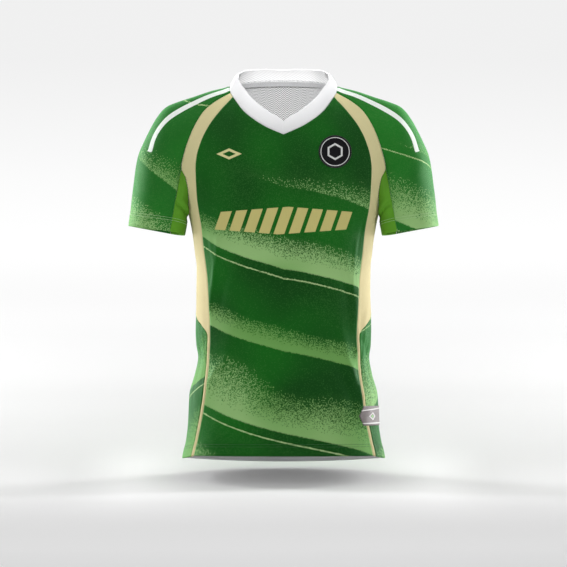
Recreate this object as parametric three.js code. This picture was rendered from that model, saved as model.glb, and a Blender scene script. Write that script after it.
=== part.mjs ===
import * as THREE from "three";

// A hollow short-sleeved football jersey, filled out with no wearer, in millimetres, +Z up.
// The front faces -Y and the wearer's left side is +X. The origin lies midway between the
// two high shoulder points, where the neck seam crosses the shoulder ridge.

// Driving dimensions
const clothWall = 1.5;
const collarWall = 2;
const trimWall = 1;
const seamGap = 0.3;
const trimGap = 0.5;
const roundness = 2.3; // power of the superellipse that each trunk section follows
const quarterGirth = 245; // length of a quarter of the trunk section, which scales the folds
const neckHalfWidth = 102;
const shoulderStart = -200; // above this height the trunk turns in to the shoulder ridge
const crotchZ = -240; // lowest point of the armhole
const wedgeZ = -155; // upper end of the underarm gusset
const stripWidth = 5; // side band below its taper
const taperLow = -472;
const taperHigh = -415;
const sideWrap = 0.06; // share of a quarter that the side band reaches behind the side
const backNeckZ = 14;
const backNeckEdge = { x: 88, z: 8 };
const frontHemZ = -699;
const sideHemZ = -705;
const backHemZ = -715;

// Grid steps, shared by the pieces that meet
const rowSteps = { strip: 9, taper: 6, side: 6, armhole: 5, raglan: 8 };
const cuffSteps = 9; // from the cuff to the top of the gusset
const frontColumns = 18;
const backColumns = 20;
const bandColumns = 3;
const sleeveColumns = 14;
const collarRows = 3;

// Rows of numbers with named columns.
function table(names, rows) {
  return rows.map((row) => Object.fromEntries(names.map((name, i) => [name, row[i]])));
}

// Trunk sections, lowest first: half width, and depth before and behind the side line.
// Above the armhole they run on unseen, inside the sleeves.
const trunkSections = table(["z", "half", "front", "back"], [
  [-730, 194, 119, 122],
  [-705, 192.5, 118, 121],
  [-670, 185, 116, 119],
  [-643, 181.5, 115, 117],
  [-586, 179, 111, 112],
  [-543, 168, 108, 108],
  [-512, 162.5, 106, 106],
  [-490, 165.5, 107, 108],
  [-460, 166.8, 109, 111],
  [-400, 165.3, 113, 119],
  [-342, 165.3, 117, 126],
  [-318, 168, 118.5, 128],
  [-283, 172.5, 120, 131],
  [-240, 180.5, 120, 133],
  [-206, 191, 117, 134],
  [-155, 209, 110, 133],
  [-100, 215, 104, 130],
  [-40, 216, 99, 126],
  [40, 216, 96, 122],
]);

// Height at which the front and the back of the trunk would meet over the shoulder.
const shoulderRidge = table(["x", "z"], [
  [0, 60],
  [60, 48],
  [90, 27],
  [110, 8],
  [137, -7],
  [172, -19],
  [200, -28],
  [222, -38],
]);

// Seam lines on the front, seen from the front: the band's inner and outer edge.
const bandInner = table(["z", "x"], [
  [-700, 169.7],
  [-646, 157.9],
  [-606, 150.7],
  [-561, 144.2],
  [-515, 140.2],
  [-470, 138.7],
  [-410, 140.6],
  [-371, 142.7],
  [-338, 146.9],
  [-266, 156.2],
  [-196, 164.4],
  [-155, 166.4],
  [-134, 164.4],
  [-105, 156.2],
  [-78.5, 143.6],
  [-47.5, 121],
  [-20, 95.8],
]);
const bandOuter = table(["z", "x"], [
  [crotchZ, 180.5],
  [-225, 179.6],
  [-206, 180],
  [-175, 184.9],
  [wedgeZ, 193.2],
  [-124, 187],
  [-93, 176.7],
  [-60, 160.2],
  [-43.5, 147.8],
  [-26, 125.2],
  [-12.5, 100.5],
]);
const backEdge = table(["z", "x"], [
  [crotchZ, 180.5],
  [-215, 182.5],
  [-190, 187],
  [wedgeZ, 196],
  [-110, 190],
  [-72, 172],
  [-40, 143],
  [-19, 112],
  [backNeckEdge.z, backNeckEdge.x],
]);
const frontNeck = table(["x", "z"], [
  [0, -92],
  [30.8, -78.5],
  [53.6, -65],
  [76.2, -46.5],
  [95.8, -20],
]);

// Sleeve lines: the seam to the gusset, the outer silhouette and the middle of the cuff below.
const gussetSeam = table(["z", "x", "depth"], [
  [-275, 215, 51],
  [-237, 208, 55],
  [-188, 199.5, 53],
]);
const sleeveOuter = table(["z", "x"], [
  [-264, 294.5],
  [-237, 290.3],
  [-212, 287.9],
  [-161, 281.8],
  [-130, 275.5],
  [-109, 267.3],
  [-78.5, 252.9],
  [-58, 240.5],
  [-38, 221.9],
  [-28, 199.3],
  [-19, 172.5],
  [-8, 137.6],
  [0, neckHalfWidth],
]);
const sleeveOuterWedgeZ = -132; // silhouette height level with the top of the gusset
const cuffInner = { x: 187.3, z: -280 };
const cuffBackDrop = 4; // the back of the cuff hangs lower than its front
// Slope of the sleeve away from its seam: forward at the gusset, back over the shoulder.
const sleeveSlope = table(["row", "slope"], [
  [0, -0.6],
  [cuffSteps, -0.7],
  [cuffSteps + 2, -0.35],
  [cuffSteps + 5, 0.4],
  [cuffSteps + rowSteps.raglan, 0.7],
]);
const seamHandle = 0.45; // reach of a sleeve ring's handles, as a share of its chord
const outerHandle = 0.44;

// Collar band: how far its upper edge lies inward, back and up from the seam, by the angle
// round the neck from the centre front.
const collarLean = table(["angle", "inward", "back", "rise"], [
  [0, 0, 8, 25],
  [19, 15.5, 8, 23],
  [45, 15.5, 6, 25],
  [62, 15.5, 3, 24],
  [90, 16, 0, 27],
  [125, 11, -4, 25],
  [180, 0, -6, 21],
]);
const collarBulge = 1.5;

// Largest folds: a soft ridge or, below zero, a trough along a line from one turn and height
// to another. A turn is 0 at the centre front, 1 at the side and 2 at the centre back.
const folds = table(["turn0", "z0", "turn1", "z1", "width", "height"], [
  [0.6, -345, 0.58, -455, 13, 2.6],
  [0.47, -360, 0.5, -430, 15, -1.6],
  [0.63, -500, 0.5, -560, 12, 2],
  [0.7, -485, 0.86, -505, 10, -2.4],
  [0.5, -170, 0.72, -245, 16, 2],
  [0.42, -215, 0.66, -275, 15, -1.8],
  [1.2, -505, 1.5, -530, 14, -3],
  [1.25, -470, 1.6, -490, 14, 2.6],
  [1.6, -560, 1.95, -545, 16, -2.4],
  [1.3, -190, 1.55, -290, 18, 2.6],
  [1.42, -170, 1.7, -250, 17, -2],
]);
const mirroredFoldShare = 0.7; // the folds on the wearer's right are shallower

const trimPatch = { x: 97, z: -125, radius: 31, steps: 8 };
const hemLabel = { turnLow: 0.55, turnHigh: 0.98, zLow: -642, zHigh: -605, point: 0.05, columns: 8, rows: 4 };
const neckTape = { columns: 17, top: 0.06, bottom: 0.48 };

const clamp01 = (t) => Math.min(1, Math.max(0, t));
const smoothStep = (t) => clamp01(t) ** 2 * (3 - 2 * clamp01(t));
const mix = (a, b, t) => a + (b - a) * t;
const point = (x, y, z) => new THREE.Vector3(x, y, z);
const steps = (count) => Array.from({ length: count + 1 }, (_, i) => i / count);

// Value of one column of a table at a key, along a cubic that doesn't overshoot its rows.
function lookUp(rows, key, column, at) {
  const last = rows.length - 1;
  const t = Math.min(rows[last][key], Math.max(rows[0][key], at));
  const i = Math.min(last - 1, rows.findLastIndex((row) => row[key] <= t));
  const width = (k) => rows[k + 1][key] - rows[k][key];
  const rate = (k) => (rows[k + 1][column] - rows[k][column]) / width(k);
  const tangent = (k) => {
    if (k === 0) return rate(0);
    if (k === last) return rate(last - 1);
    if (rate(k - 1) * rate(k) <= 0) return 0;
    const before = 2 * width(k) + width(k - 1);
    const after = width(k) + 2 * width(k - 1);
    return (before + after) / (before / rate(k - 1) + after / rate(k));
  };
  const w = width(i);
  const s = (t - rows[i][key]) / w;
  const a = rows[i][column] * (1 + 2 * s) * (1 - s) ** 2 + w * tangent(i) * s * (1 - s) ** 2;
  return a + rows[i + 1][column] * s * s * (3 - 2 * s) - w * tangent(i + 1) * s * s * (1 - s);
}

// Heights that part the line x(z) of a table into equal lengths between two heights.
function equalLengths(rows, low, high, count) {
  const samples = steps(200).map((t) => mix(low, high, t));
  const run = [0];
  samples.slice(1).forEach((z, i) => {
    const dx = lookUp(rows, "z", "x", z) - lookUp(rows, "z", "x", samples[i]);
    run.push(run[i] + Math.hypot(dx, z - samples[i]));
  });
  return steps(count).map((t) => {
    const i = Math.max(1, run.findIndex((length) => length >= t * run.at(-1) - 1e-9));
    return mix(samples[i - 1], samples[i], (t * run.at(-1) - run[i - 1]) / (run[i] - run[i - 1]));
  });
}

function foldHeight(x, turn, z) {
  const share = x < 0 ? mirroredFoldShare : 1;
  return folds.reduce((sum, f) => {
    const along = new THREE.Vector2((f.turn1 - f.turn0) * quarterGirth, f.z1 - f.z0);
    const from = new THREE.Vector2((turn - f.turn0) * quarterGirth, z - f.z0);
    const length = along.length();
    const t = from.dot(along) / length ** 2;
    const across = from.cross(along) / length;
    const past = Math.max(0, -t, t - 1) * length;
    const fade = 1 - smoothStep(past / (3 * f.width));
    const taper = 0.4 + 0.6 * Math.sin(Math.PI * clamp01(t * 0.8 + 0.1));
    return sum + share * f.height * taper * fade * Math.exp(-((across / f.width) ** 2));
  }, 0);
}

// Point of the trunk by its turn and height on the +X side. Its section is a superellipse,
// whose depth shrinks as a quarter round towards the shoulder ridge.
function trunkPoint(turn, z, mirror = 1) {
  const half = lookUp(trunkSections, "z", "half", z);
  const depth = lookUp(trunkSections, "z", turn < 1 ? "front" : "back", z);
  const angle = (turn * Math.PI) / 2;
  const x = half * Math.abs(Math.sin(angle)) ** (2 / roundness);
  const rise = (z - shoulderStart) / (lookUp(shoulderRidge, "x", "z", x) - shoulderStart);
  const turnIn = Math.sqrt(1 - clamp01(rise) ** 2);
  const y = -Math.sign(Math.cos(angle)) * depth * Math.abs(Math.cos(angle)) ** (2 / roundness);
  const out = new THREE.Vector2(x / half ** 2, (y * turnIn) / depth ** 2).normalize();
  const fold = foldHeight(mirror, turn, z) * turnIn;
  return point(mirror * (x + out.x * fold), y * turnIn + out.y * fold, z);
}

// Turn at which the trunk's section reaches a distance from the centre plane.
function turnAt(x, z, behind = false) {
  const half = lookUp(trunkSections, "z", "half", z);
  const turn = Math.asin(clamp01(x / half) ** (roundness / 2)) / (Math.PI / 2);
  return behind ? 2 - turn : turn;
}

// Rows from the hem to the neck: height and turn of the band's two edges and the back's edge.
function trunkRows() {
  const low = [
    [frontHemZ, taperLow, rowSteps.strip],
    [taperLow, taperHigh, rowSteps.taper],
    [taperHigh, crotchZ, rowSteps.side],
  ].flatMap(([from, to, count]) => steps(count).slice(0, -1).map((t) => mix(from, to, t)));
  const high = (rows, end) => [
    ...equalLengths(rows, crotchZ, wedgeZ, rowSteps.armhole).slice(0, -1),
    ...equalLengths(rows, wedgeZ, end, rowSteps.raglan),
  ];
  const inner = [...low, ...high(bandInner, bandInner.at(-1).z)];
  const outer = [...low, ...high(bandOuter, bandOuter.at(-1).z)];
  const back = [...low, ...high(backEdge, backNeckEdge.z)];
  return inner.map((z, i) => {
    const innerTurn = turnAt(lookUp(bandInner, "z", "x", z), z);
    if (i >= low.length) {
      const outerTurn = turnAt(lookUp(bandOuter, "z", "x", outer[i]), outer[i]);
      const backTurn = turnAt(lookUp(backEdge, "z", "x", back[i]), back[i], true);
      return { inner: [innerTurn, z], outer: [outerTurn, outer[i]], back: [backTurn, back[i]] };
    }
    const side = 1 + sideWrap * smoothStep((crotchZ - z) / 60);
    const strip = turnAt(lookUp(bandInner, "z", "x", z) + stripWidth, z);
    const turn = mix(strip, side, smoothStep((z - taperLow) / (taperHigh - taperLow)));
    const drop = hemDrop(turn) * (1 - (z - frontHemZ) / (taperLow - frontHemZ));
    const edge = [turn, z + (z < taperLow ? drop : 0)];
    return { inner: [innerTurn, z], outer: edge, back: edge };
  });
}

// How far the hem lies below its height at the centre front.
function hemDrop(turn) {
  if (turn < 1) return (sideHemZ - frontHemZ) * smoothStep((turn - 0.55) / 0.45);
  return mix(sideHemZ, backHemZ, smoothStep(turn - 1)) - frontHemZ;
}

// Share of the way from hem to neck that each row stands at, for an edge of the rows.
function shares(rows, edge) {
  const zs = rows.map((row) => row[edge][1]);
  return zs.map((z) => (z - zs[0]) / (zs.at(-1) - zs[0]));
}

// A grid is a list of rows from the bottom up, each a list of points that runs
// anticlockwise round the garment as seen from above.
function frontGrid(rows) {
  const share = shares(rows, "inner");
  return rows.map((row, i) => {
    const edge = lookUp(bandInner, "z", "x", row.inner[1]);
    return steps(frontColumns).map((t) => {
      const across = 2 * t - 1;
      const neck = lookUp(frontNeck, "x", "z", Math.abs(across) * bandInner.at(-1).x);
      const z = Math.abs(across) === 1 ? row.inner[1] : mix(frontHemZ, neck, share[i]);
      return trunkPoint(turnAt(Math.abs(across) * edge, z), z, Math.sign(across) || 1);
    });
  });
}

function bandGrid(rows, mirror) {
  return rows.map(({ inner, outer }) =>
    steps(bandColumns).map((t) => {
      const p = trunkPoint(mix(inner[0], outer[0], t), mix(inner[1], outer[1], t), mirror);
      return p.setX(Math.abs(p.x));
    }),
  );
}

function backGrid(rows) {
  const share = shares(rows, "back");
  return rows.map(({ back }, i) =>
    steps(backColumns).map((t) => {
      const across = Math.abs(2 * t - 1);
      const turn = mix(2, back[0], across);
      const hem = frontHemZ + hemDrop(mix(2, rows[0].back[0], across));
      const neck = mix(backNeckZ, backNeckEdge.z, across ** 2);
      const z = across === 1 ? back[1] : mix(hem, neck, share[i]);
      return trunkPoint(turn, z, t < 0.5 ? 1 : -1);
    }),
  );
}

// Seam between the sleeve and the gusset, from the cuff to a given top point.
function gussetEdge(top, behind) {
  const side = behind ? 1 : -1;
  const rows = [...gussetSeam, { z: wedgeZ, x: top.x, depth: side * top.y }];
  return equalLengths(rows, rows[0].z, wedgeZ, cuffSteps).map((z) => {
    const drop = behind ? cuffBackDrop * (1 - smoothStep((z - rows[0].z) / 50)) : 0;
    return point(lookUp(rows, "z", "x", z), side * lookUp(rows, "z", "depth", z), z - drop);
  });
}

// Direction in which a sleeve ring leaves its seam, on the front or on the back.
function seamDirection(seam, outer, row, side) {
  const slope = lookUp(sleeveSlope, "row", "slope", row);
  const flat = point(outer.x - seam.x, 0, outer.z - seam.z).normalize();
  return flat.setY(-side * slope).normalize();
}

function halfRing(seam, outer, row, side) {
  const reach = seam.distanceTo(outer);
  const near = seam.clone().addScaledVector(seamDirection(seam, outer, row, side), seamHandle * reach);
  const far = outer.clone().add(point(0, side * outerHandle * reach, 0));
  return new THREE.CubicBezierCurve3(seam, near, far, outer);
}

function sleeveEdges(band, back) {
  const wedgeRow = band.length - 1 - rowSteps.raglan;
  const front = band.slice(wedgeRow).map((row) => row.at(-1));
  const rear = back.slice(wedgeRow).map((row) => row[0]);
  const outerZ = [
    ...equalLengths(sleeveOuter, sleeveOuter[0].z, sleeveOuterWedgeZ, cuffSteps).slice(0, -1),
    ...equalLengths(sleeveOuter, sleeveOuterWedgeZ, 0, rowSteps.raglan),
  ];
  return {
    front: [...gussetEdge(front[0], false).slice(0, -1), ...front],
    rear: [...gussetEdge(rear[0], true).slice(0, -1), ...rear],
    outer: outerZ.map((z) => point(lookUp(sleeveOuter, "z", "x", z), 0, z)),
  };
}

function sleeveGrid({ front, rear, outer }) {
  const half = sleeveColumns / 2;
  return outer.map((top, i) => {
    const before = halfRing(front[i], top, i, -1);
    const behind = halfRing(rear[i], top, i, 1);
    const there = steps(half).map((t) => before.getPoint(t));
    const back = steps(half).map((t) => behind.getPoint(1 - t));
    return [...there, ...back.slice(1)];
  });
}

// Gusset: a patch blended between the cuff arc, the two sleeve seams and the armhole seam.
// It runs from the back to the front, because it faces the trunk.
function gussetGrid(edges, band, back) {
  const crotchRow = rowSteps.strip + rowSteps.taper + rowSteps.side;
  const half = rowSteps.armhole;
  const frontArmhole = band.slice(crotchRow, crotchRow + half + 1).map((row) => row.at(-1));
  const rearArmhole = back.slice(crotchRow, crotchRow + half + 1).map((row) => row[0]);
  const top = [...rearArmhole.slice(1).reverse(), ...frontArmhole];
  const inner = point(cuffInner.x, 0, cuffInner.z - cuffBackDrop / 2);
  const arc = (seam, side) => {
    const away = seamDirection(seam, edges.outer[0], 0, side);
    const reach = seam.distanceTo(inner);
    const near = seam.clone().addScaledVector(away, -seamHandle * reach);
    const far = inner.clone().add(point(0, side * 0.6 * reach, 0));
    return new THREE.CubicBezierCurve3(seam, near, far, inner);
  };
  const rearArc = arc(edges.rear[0], 1);
  const frontArc = arc(edges.front[0], -1);
  const bottom = [
    ...steps(half).map((t) => rearArc.getPoint(t)),
    ...steps(half).slice(1).map((t) => frontArc.getPoint(1 - t)),
  ];
  return steps(cuffSteps).map((w, i) =>
    steps(2 * half).map((s, j) => {
      const sides = edges.rear[i].clone().lerp(edges.front[i], s);
      const ends = bottom[j].clone().lerp(top[j], w);
      const low = bottom[0].clone().lerp(bottom.at(-1), s);
      const corners = low.lerp(top[0].clone().lerp(top.at(-1), s), w);
      return sides.add(ends).sub(corners);
    }),
  );
}

// Collar: its seam is the upper edge of the pieces round the neck, anticlockwise from the
// centre front, and its first and last columns are the same.
function collarGrid(seam) {
  return steps(collarRows).map((t) =>
    seam.map((p) => {
      const angle = THREE.MathUtils.radToDeg(Math.atan2(Math.abs(p.x), -p.y));
      const lean = (column) => lookUp(collarLean, "angle", column, angle);
      const bulge = collarBulge * Math.sin(Math.PI * t);
      const out = point(p.x, p.y, 0).normalize().multiplyScalar(bulge);
      const inward = -Math.sign(p.x) * Math.min(Math.abs(p.x), lean("inward"));
      return p.clone().add(point(inward * t, lean("back") * t, lean("rise") * t)).add(out);
    }),
  );
}

const mirrored = (grid) => grid.map((row) => row.map((p) => point(-p.x, p.y, p.z)).reverse());
const keyOf = (p) => [p.x, p.y, p.z].map((v) => Math.round(v * 100)).join(",");

// Normals at each place, averaged over all the pieces that meet there.
function sharedNormals(grids) {
  const sums = new Map();
  grids.forEach((grid) => {
    for (let i = 0; i + 1 < grid.length; i++) {
      for (let j = 0; j + 1 < grid[i].length; j++) {
        const corners = [grid[i][j], grid[i][j + 1], grid[i + 1][j + 1], grid[i + 1][j]];
        const across = corners[2].clone().sub(corners[0]);
        const face = across.cross(corners[3].clone().sub(corners[1]));
        corners.forEach((p) => {
          const key = keyOf(p);
          if (!sums.has(key)) sums.set(key, point(0, 0, 0));
          sums.get(key).add(face);
        });
      }
    }
  });
  return (p) => sums.get(keyOf(p)).clone().normalize();
}

// How many pieces hold each place.
function ownerCounts(grids) {
  const owners = new Map();
  grids.forEach((grid, piece) =>
    grid.flat().forEach((p) => {
      const key = keyOf(p);
      owners.set(key, (owners.get(key) || new Set()).add(piece));
    }),
  );
  return (p) => owners.get(keyOf(p)).size;
}

// Moves a grid's seam points into the piece by half the seam gap, square to each seam.
function seamed(grid, normalAt, ownersOf, ring) {
  const rows = grid.length - 1;
  const columns = grid[0].length - 1;
  const inward = (p, inner, before, after, normal) => {
    const along = after.clone().sub(before).normalize();
    const d = inner.clone().sub(p);
    d.addScaledVector(along, -d.dot(along)).addScaledVector(normal, -d.dot(normal));
    return d.normalize();
  };
  return grid.map((row, i) =>
    row.map((p, j) => {
      if (ownersOf(p) < 2) return p.clone();
      const normal = normalAt(p);
      const moves = [];
      if (i === 0 || i === rows) {
        const inner = grid[i === 0 ? 1 : rows - 1][j];
        moves.push(inward(p, inner, row[Math.max(0, j - 1)], row[Math.min(columns, j + 1)], normal));
      }
      if (!ring && (j === 0 || j === columns)) {
        const inner = row[j === 0 ? 1 : columns - 1];
        const before = grid[Math.max(0, i - 1)][j];
        moves.push(inward(p, inner, before, grid[Math.min(rows, i + 1)][j], normal));
      }
      if (moves.length === 0) return p.clone();
      const isFree = moves.length === 2 && !sharedEnd(grid, ownersOf, i, j);
      if (moves.length === 1 || isFree) return p.clone().addScaledVector(moves.at(-1), seamGap / 2);
      const sum = moves[0].clone().add(moves[1]);
      const mitre = seamGap / 2 / Math.max(0.04, 1 + moves[0].dot(moves[1]));
      return p.clone().addScaledVector(sum, mitre);
    }),
  );
}

// Whether the row that a corner ends is itself a seam, and not a hem or cuff.
function sharedEnd(grid, ownersOf, i, j) {
  return ownersOf(grid[i][j === 0 ? 1 : grid[0].length - 2]) > 1;
}

// A closed wall: the grid outside, the same points moved in along their normals inside,
// and strips round the edges. A ring's last column joins its first.
function wallGeometry(outer, normals, thickness, ring) {
  const columns = outer[0].length - (ring ? 1 : 0);
  const rows = outer.length;
  const positions = [];
  outer.forEach((row) => row.slice(0, columns).forEach((p) => positions.push(...p)));
  outer.forEach((row, i) =>
    row.slice(0, columns).forEach((p, j) => {
      positions.push(...p.clone().addScaledVector(normals[i][j], -thickness));
    }),
  );
  const index = [];
  const out = (i, j) => i * columns + (j % columns);
  const inn = (i, j) => rows * columns + out(i, j);
  const quad = (a, b, c, d) => index.push(a, b, c, a, c, d);
  for (let j = 0; j < (ring ? columns : columns - 1); j++) {
    for (let i = 0; i + 1 < rows; i++) {
      quad(out(i, j), out(i, j + 1), out(i + 1, j + 1), out(i + 1, j));
      quad(inn(i, j), inn(i + 1, j), inn(i + 1, j + 1), inn(i, j + 1));
    }
    quad(out(0, j), inn(0, j), inn(0, j + 1), out(0, j + 1));
    quad(out(rows - 1, j), out(rows - 1, j + 1), inn(rows - 1, j + 1), inn(rows - 1, j));
  }
  for (let i = 0; i + 1 < rows && !ring; i++) {
    quad(out(i, 0), out(i + 1, 0), inn(i + 1, 0), inn(i, 0));
    const j = columns - 1;
    quad(out(i, j), inn(i, j), inn(i + 1, j), out(i + 1, j));
  }
  const geometry = new THREE.BufferGeometry();
  geometry.setAttribute("position", new THREE.Float32BufferAttribute(positions, 3));
  geometry.setIndex(index);
  geometry.computeVertexNormals();
  return geometry;
}

function clothMaterial(color, roughness = 0.85) {
  return new THREE.MeshStandardMaterial({ color, roughness, metalness: 0, side: THREE.DoubleSide });
}

function namedMesh(name, geometry, material) {
  const mesh = new THREE.Mesh(geometry, material);
  mesh.name = name;
  return mesh;
}

// Trim that lies on the trunk: the trunk's points by turn and height, moved out.
function trimGrid(places) {
  const step = 0.5;
  return places.map((row) =>
    row.map(([turn, z]) => {
      const across = trunkPoint(turn + step / quarterGirth, z).sub(trunkPoint(turn - step / quarterGirth, z));
      const normal = across.cross(trunkPoint(turn, z + step).sub(trunkPoint(turn, z - step))).normalize();
      return { normal, place: trunkPoint(turn, z).addScaledVector(normal, trimGap + trimWall) };
    }),
  );
}

function trimMesh(name, places, material) {
  const grid = trimGrid(places);
  const outer = grid.map((row) => row.map((cell) => cell.place));
  const normals = grid.map((row) => row.map((cell) => cell.normal));
  return namedMesh(name, wallGeometry(outer, normals, trimWall, false), material);
}

function chestPatch() {
  const { x, z, radius, steps: count } = trimPatch;
  const places = steps(count).map((t) =>
    steps(count).map((s) => {
      const u = 2 * s - 1;
      const v = 2 * t - 1;
      const across = x + radius * u * Math.sqrt(1 - (v * v) / 2);
      const height = z + radius * v * Math.sqrt(1 - (u * u) / 2);
      return [turnAt(across, height), height];
    }),
  );
  return trimMesh("chest_patch", places, clothMaterial(0x1b1b1d, 0.7));
}

function hemLabelMesh() {
  const { turnLow, turnHigh, zLow, zHigh, columns, rows } = hemLabel;
  const places = steps(rows).map((t) =>
    steps(columns).map((s) => {
      const low = turnLow + hemLabel.point * Math.abs(2 * t - 1);
      return [mix(low, turnHigh, s), mix(zLow, zHigh, t)];
    }),
  );
  return trimMesh("hem_label", places, clothMaterial(0x8a8683, 0.6));
}

// Tape inside the back neck: a band of the back's own points, moved in past its wall.
function neckTapeMesh(back, normalAt) {
  const first = (backColumns - neckTape.columns + 1) / 2;
  const upper = back.at(-1).slice(first, first + neckTape.columns);
  const lower = back.at(-2).slice(first, first + neckTape.columns);
  const shareAt = [neckTape.bottom, neckTape.top];
  const normals = shareAt.map((t) =>
    upper.map((p, j) => normalAt(p).lerp(normalAt(lower[j]), t).normalize()),
  );
  const depth = clothWall + seamGap;
  const outer = shareAt.map((t, i) =>
    upper.map((p, j) => p.clone().lerp(lower[j], t).addScaledVector(normals[i][j], -depth)),
  );
  return namedMesh("neck_tape", wallGeometry(outer, normals, trimWall, false), clothMaterial(0xc4c4c4));
}

// Band, sleeve and gusset of one side, all worked out on the +X side and then mirrored.
function sideGrids(rows, back, mirror) {
  const band = bandGrid(rows, mirror);
  const rear = mirror > 0 ? back : mirrored(back);
  const edges = sleeveEdges(band, rear);
  const grids = [band, sleeveGrid(edges), gussetGrid(edges, band, rear)];
  return mirror > 0 ? grids : grids.map(mirrored);
}

function makeJersey() {
  const rows = trunkRows();
  const front = frontGrid(rows);
  const back = backGrid(rows);
  const [bandLeft, sleeveLeft, gussetLeft] = sideGrids(rows, back, 1);
  const [bandRight, sleeveRight, gussetRight] = sideGrids(rows, back, -1);
  const round = [front, bandLeft, sleeveLeft, back, sleeveRight, bandRight];
  const neckSeam = round.flatMap((grid) => grid.at(-1).slice(1));
  neckSeam.unshift(neckSeam.at(-1));
  const pieces = [
    ["front", front, 0x1f6a24],
    ["side_band_left", bandLeft, 0xe6dba6],
    ["side_band_right", bandRight, 0xe6dba6],
    ["back", back, 0x1b5f20],
    ["sleeve_left", sleeveLeft, 0x2a7a2f],
    ["sleeve_right", sleeveRight, 0x2a7a2f],
    ["underarm_left", gussetLeft, 0x5b9d37],
    ["underarm_right", gussetRight, 0x5b9d37],
    ["collar", collarGrid(neckSeam), 0xf0eef0],
  ];
  const grids = pieces.map(([, grid]) => grid);
  const normalAt = sharedNormals(grids);
  const ownersOf = ownerCounts(grids);
  const jersey = new THREE.Group();
  jersey.name = "football_jersey";
  pieces.forEach(([name, grid, color]) => {
    const ring = name === "collar";
    const outer = seamed(grid, normalAt, ownersOf, ring);
    const normals = grid.map((row) => row.map((p) => normalAt(p)));
    const geometry = wallGeometry(outer, normals, ring ? collarWall : clothWall, ring);
    jersey.add(namedMesh(name, geometry, clothMaterial(color)));
  });
  jersey.add(neckTapeMesh(back, normalAt), chestPatch(), hemLabelMesh());
  return jersey;
}

export default makeJersey();
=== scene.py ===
import math

import bmesh
import bpy
import numpy as np
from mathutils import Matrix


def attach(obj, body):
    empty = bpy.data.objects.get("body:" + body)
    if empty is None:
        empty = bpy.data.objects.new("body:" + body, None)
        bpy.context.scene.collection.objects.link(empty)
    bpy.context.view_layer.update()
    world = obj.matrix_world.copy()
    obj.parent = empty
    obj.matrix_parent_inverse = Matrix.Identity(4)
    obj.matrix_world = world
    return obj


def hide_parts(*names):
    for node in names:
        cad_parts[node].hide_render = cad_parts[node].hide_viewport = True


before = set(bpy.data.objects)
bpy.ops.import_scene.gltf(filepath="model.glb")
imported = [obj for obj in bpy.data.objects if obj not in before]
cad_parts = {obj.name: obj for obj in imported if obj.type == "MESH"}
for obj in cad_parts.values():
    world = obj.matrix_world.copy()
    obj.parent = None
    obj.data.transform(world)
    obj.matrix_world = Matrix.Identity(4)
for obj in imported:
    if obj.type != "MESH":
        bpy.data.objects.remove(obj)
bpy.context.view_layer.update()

# The garment's own sizes, in millimetres, as the solids have them. +X is the wearer's left,
# the front faces -Y, and height 0 is where the neck seam crosses the shoulder ridge.
jersey = {
    "roundness": 2.3,
    "quarterGirth": 245.0,
    "shoulderStart": -200.0,
    "crotchZ": -240.0,
    "wedgeZ": -155.0,
    "stripWidth": 5.0,
    "taperLow": -472.0,
    "taperHigh": -415.0,
    "sideWrap": 0.06,
    "backNeckZ": 14.0,
    "backNeckEdgeX": 88.0,
    "backNeckEdgeZ": 8.0,
    "frontHemZ": -699.0,
    "sideHemZ": -705.0,
    "backHemZ": -715.0,
    "sleeveOuterWedgeZ": -132.0,
    "cuffInnerX": 187.3,
    "cuffInnerZ": -280.0,
    "cuffBackDrop": 4.0,
}
rowSteps = {"strip": 9, "taper": 6, "side": 6, "armhole": 5, "raglan": 8}
cuffSteps = 9
fine = 8  # rows of a cloth grid for each row of the solids
mm = 0.001  # the grids are in millimetres and the scene in metres


def columns(names, rows):
    table = np.array(rows, float)
    return {name: table[:, i] for i, name in enumerate(names)}


trunkSections = columns(["z", "half", "front", "back"], [
    [-730, 194, 119, 122],
    [-705, 192.5, 118, 121],
    [-670, 185, 116, 119],
    [-643, 181.5, 115, 117],
    [-586, 179, 111, 112],
    [-543, 168, 108, 108],
    [-512, 162.5, 106, 106],
    [-490, 165.5, 107, 108],
    [-460, 166.8, 109, 111],
    [-400, 165.3, 113, 119],
    [-342, 165.3, 117, 126],
    [-318, 168, 118.5, 128],
    [-283, 172.5, 120, 131],
    [-240, 180.5, 120, 133],
    [-206, 191, 117, 134],
    [-155, 209, 110, 133],
    [-100, 215, 104, 130],
    [-40, 216, 99, 126],
    [40, 216, 96, 122],
])
shoulderRidge = columns(["x", "z"], [
    [0, 60], [60, 48], [90, 27], [110, 8], [137, -7], [172, -19], [200, -28], [222, -38],
])
bandInner = columns(["z", "x"], [
    [-700, 169.7], [-646, 157.9], [-606, 150.7], [-561, 144.2], [-515, 140.2], [-470, 138.7],
    [-410, 140.6], [-371, 142.7], [-338, 146.9], [-266, 156.2], [-196, 164.4], [-155, 166.4],
    [-134, 164.4], [-105, 156.2], [-78.5, 143.6], [-47.5, 121], [-20, 95.8],
])
bandOuter = columns(["z", "x"], [
    [-240, 180.5], [-225, 179.6], [-206, 180], [-175, 184.9], [-155, 193.2], [-124, 187],
    [-93, 176.7], [-60, 160.2], [-43.5, 147.8], [-26, 125.2], [-12.5, 100.5],
])
backEdge = columns(["z", "x"], [
    [-240, 180.5], [-215, 182.5], [-190, 187], [-155, 196], [-110, 190], [-72, 172],
    [-40, 143], [-19, 112], [8, 88],
])
frontNeck = columns(["x", "z"], [[0, -92], [30.8, -78.5], [53.6, -65], [76.2, -46.5], [95.8, -20]])
gussetSeam = [[-275, 215, 51], [-237, 208, 55], [-188, 199.5, 53]]  # z, x, depth
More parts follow.
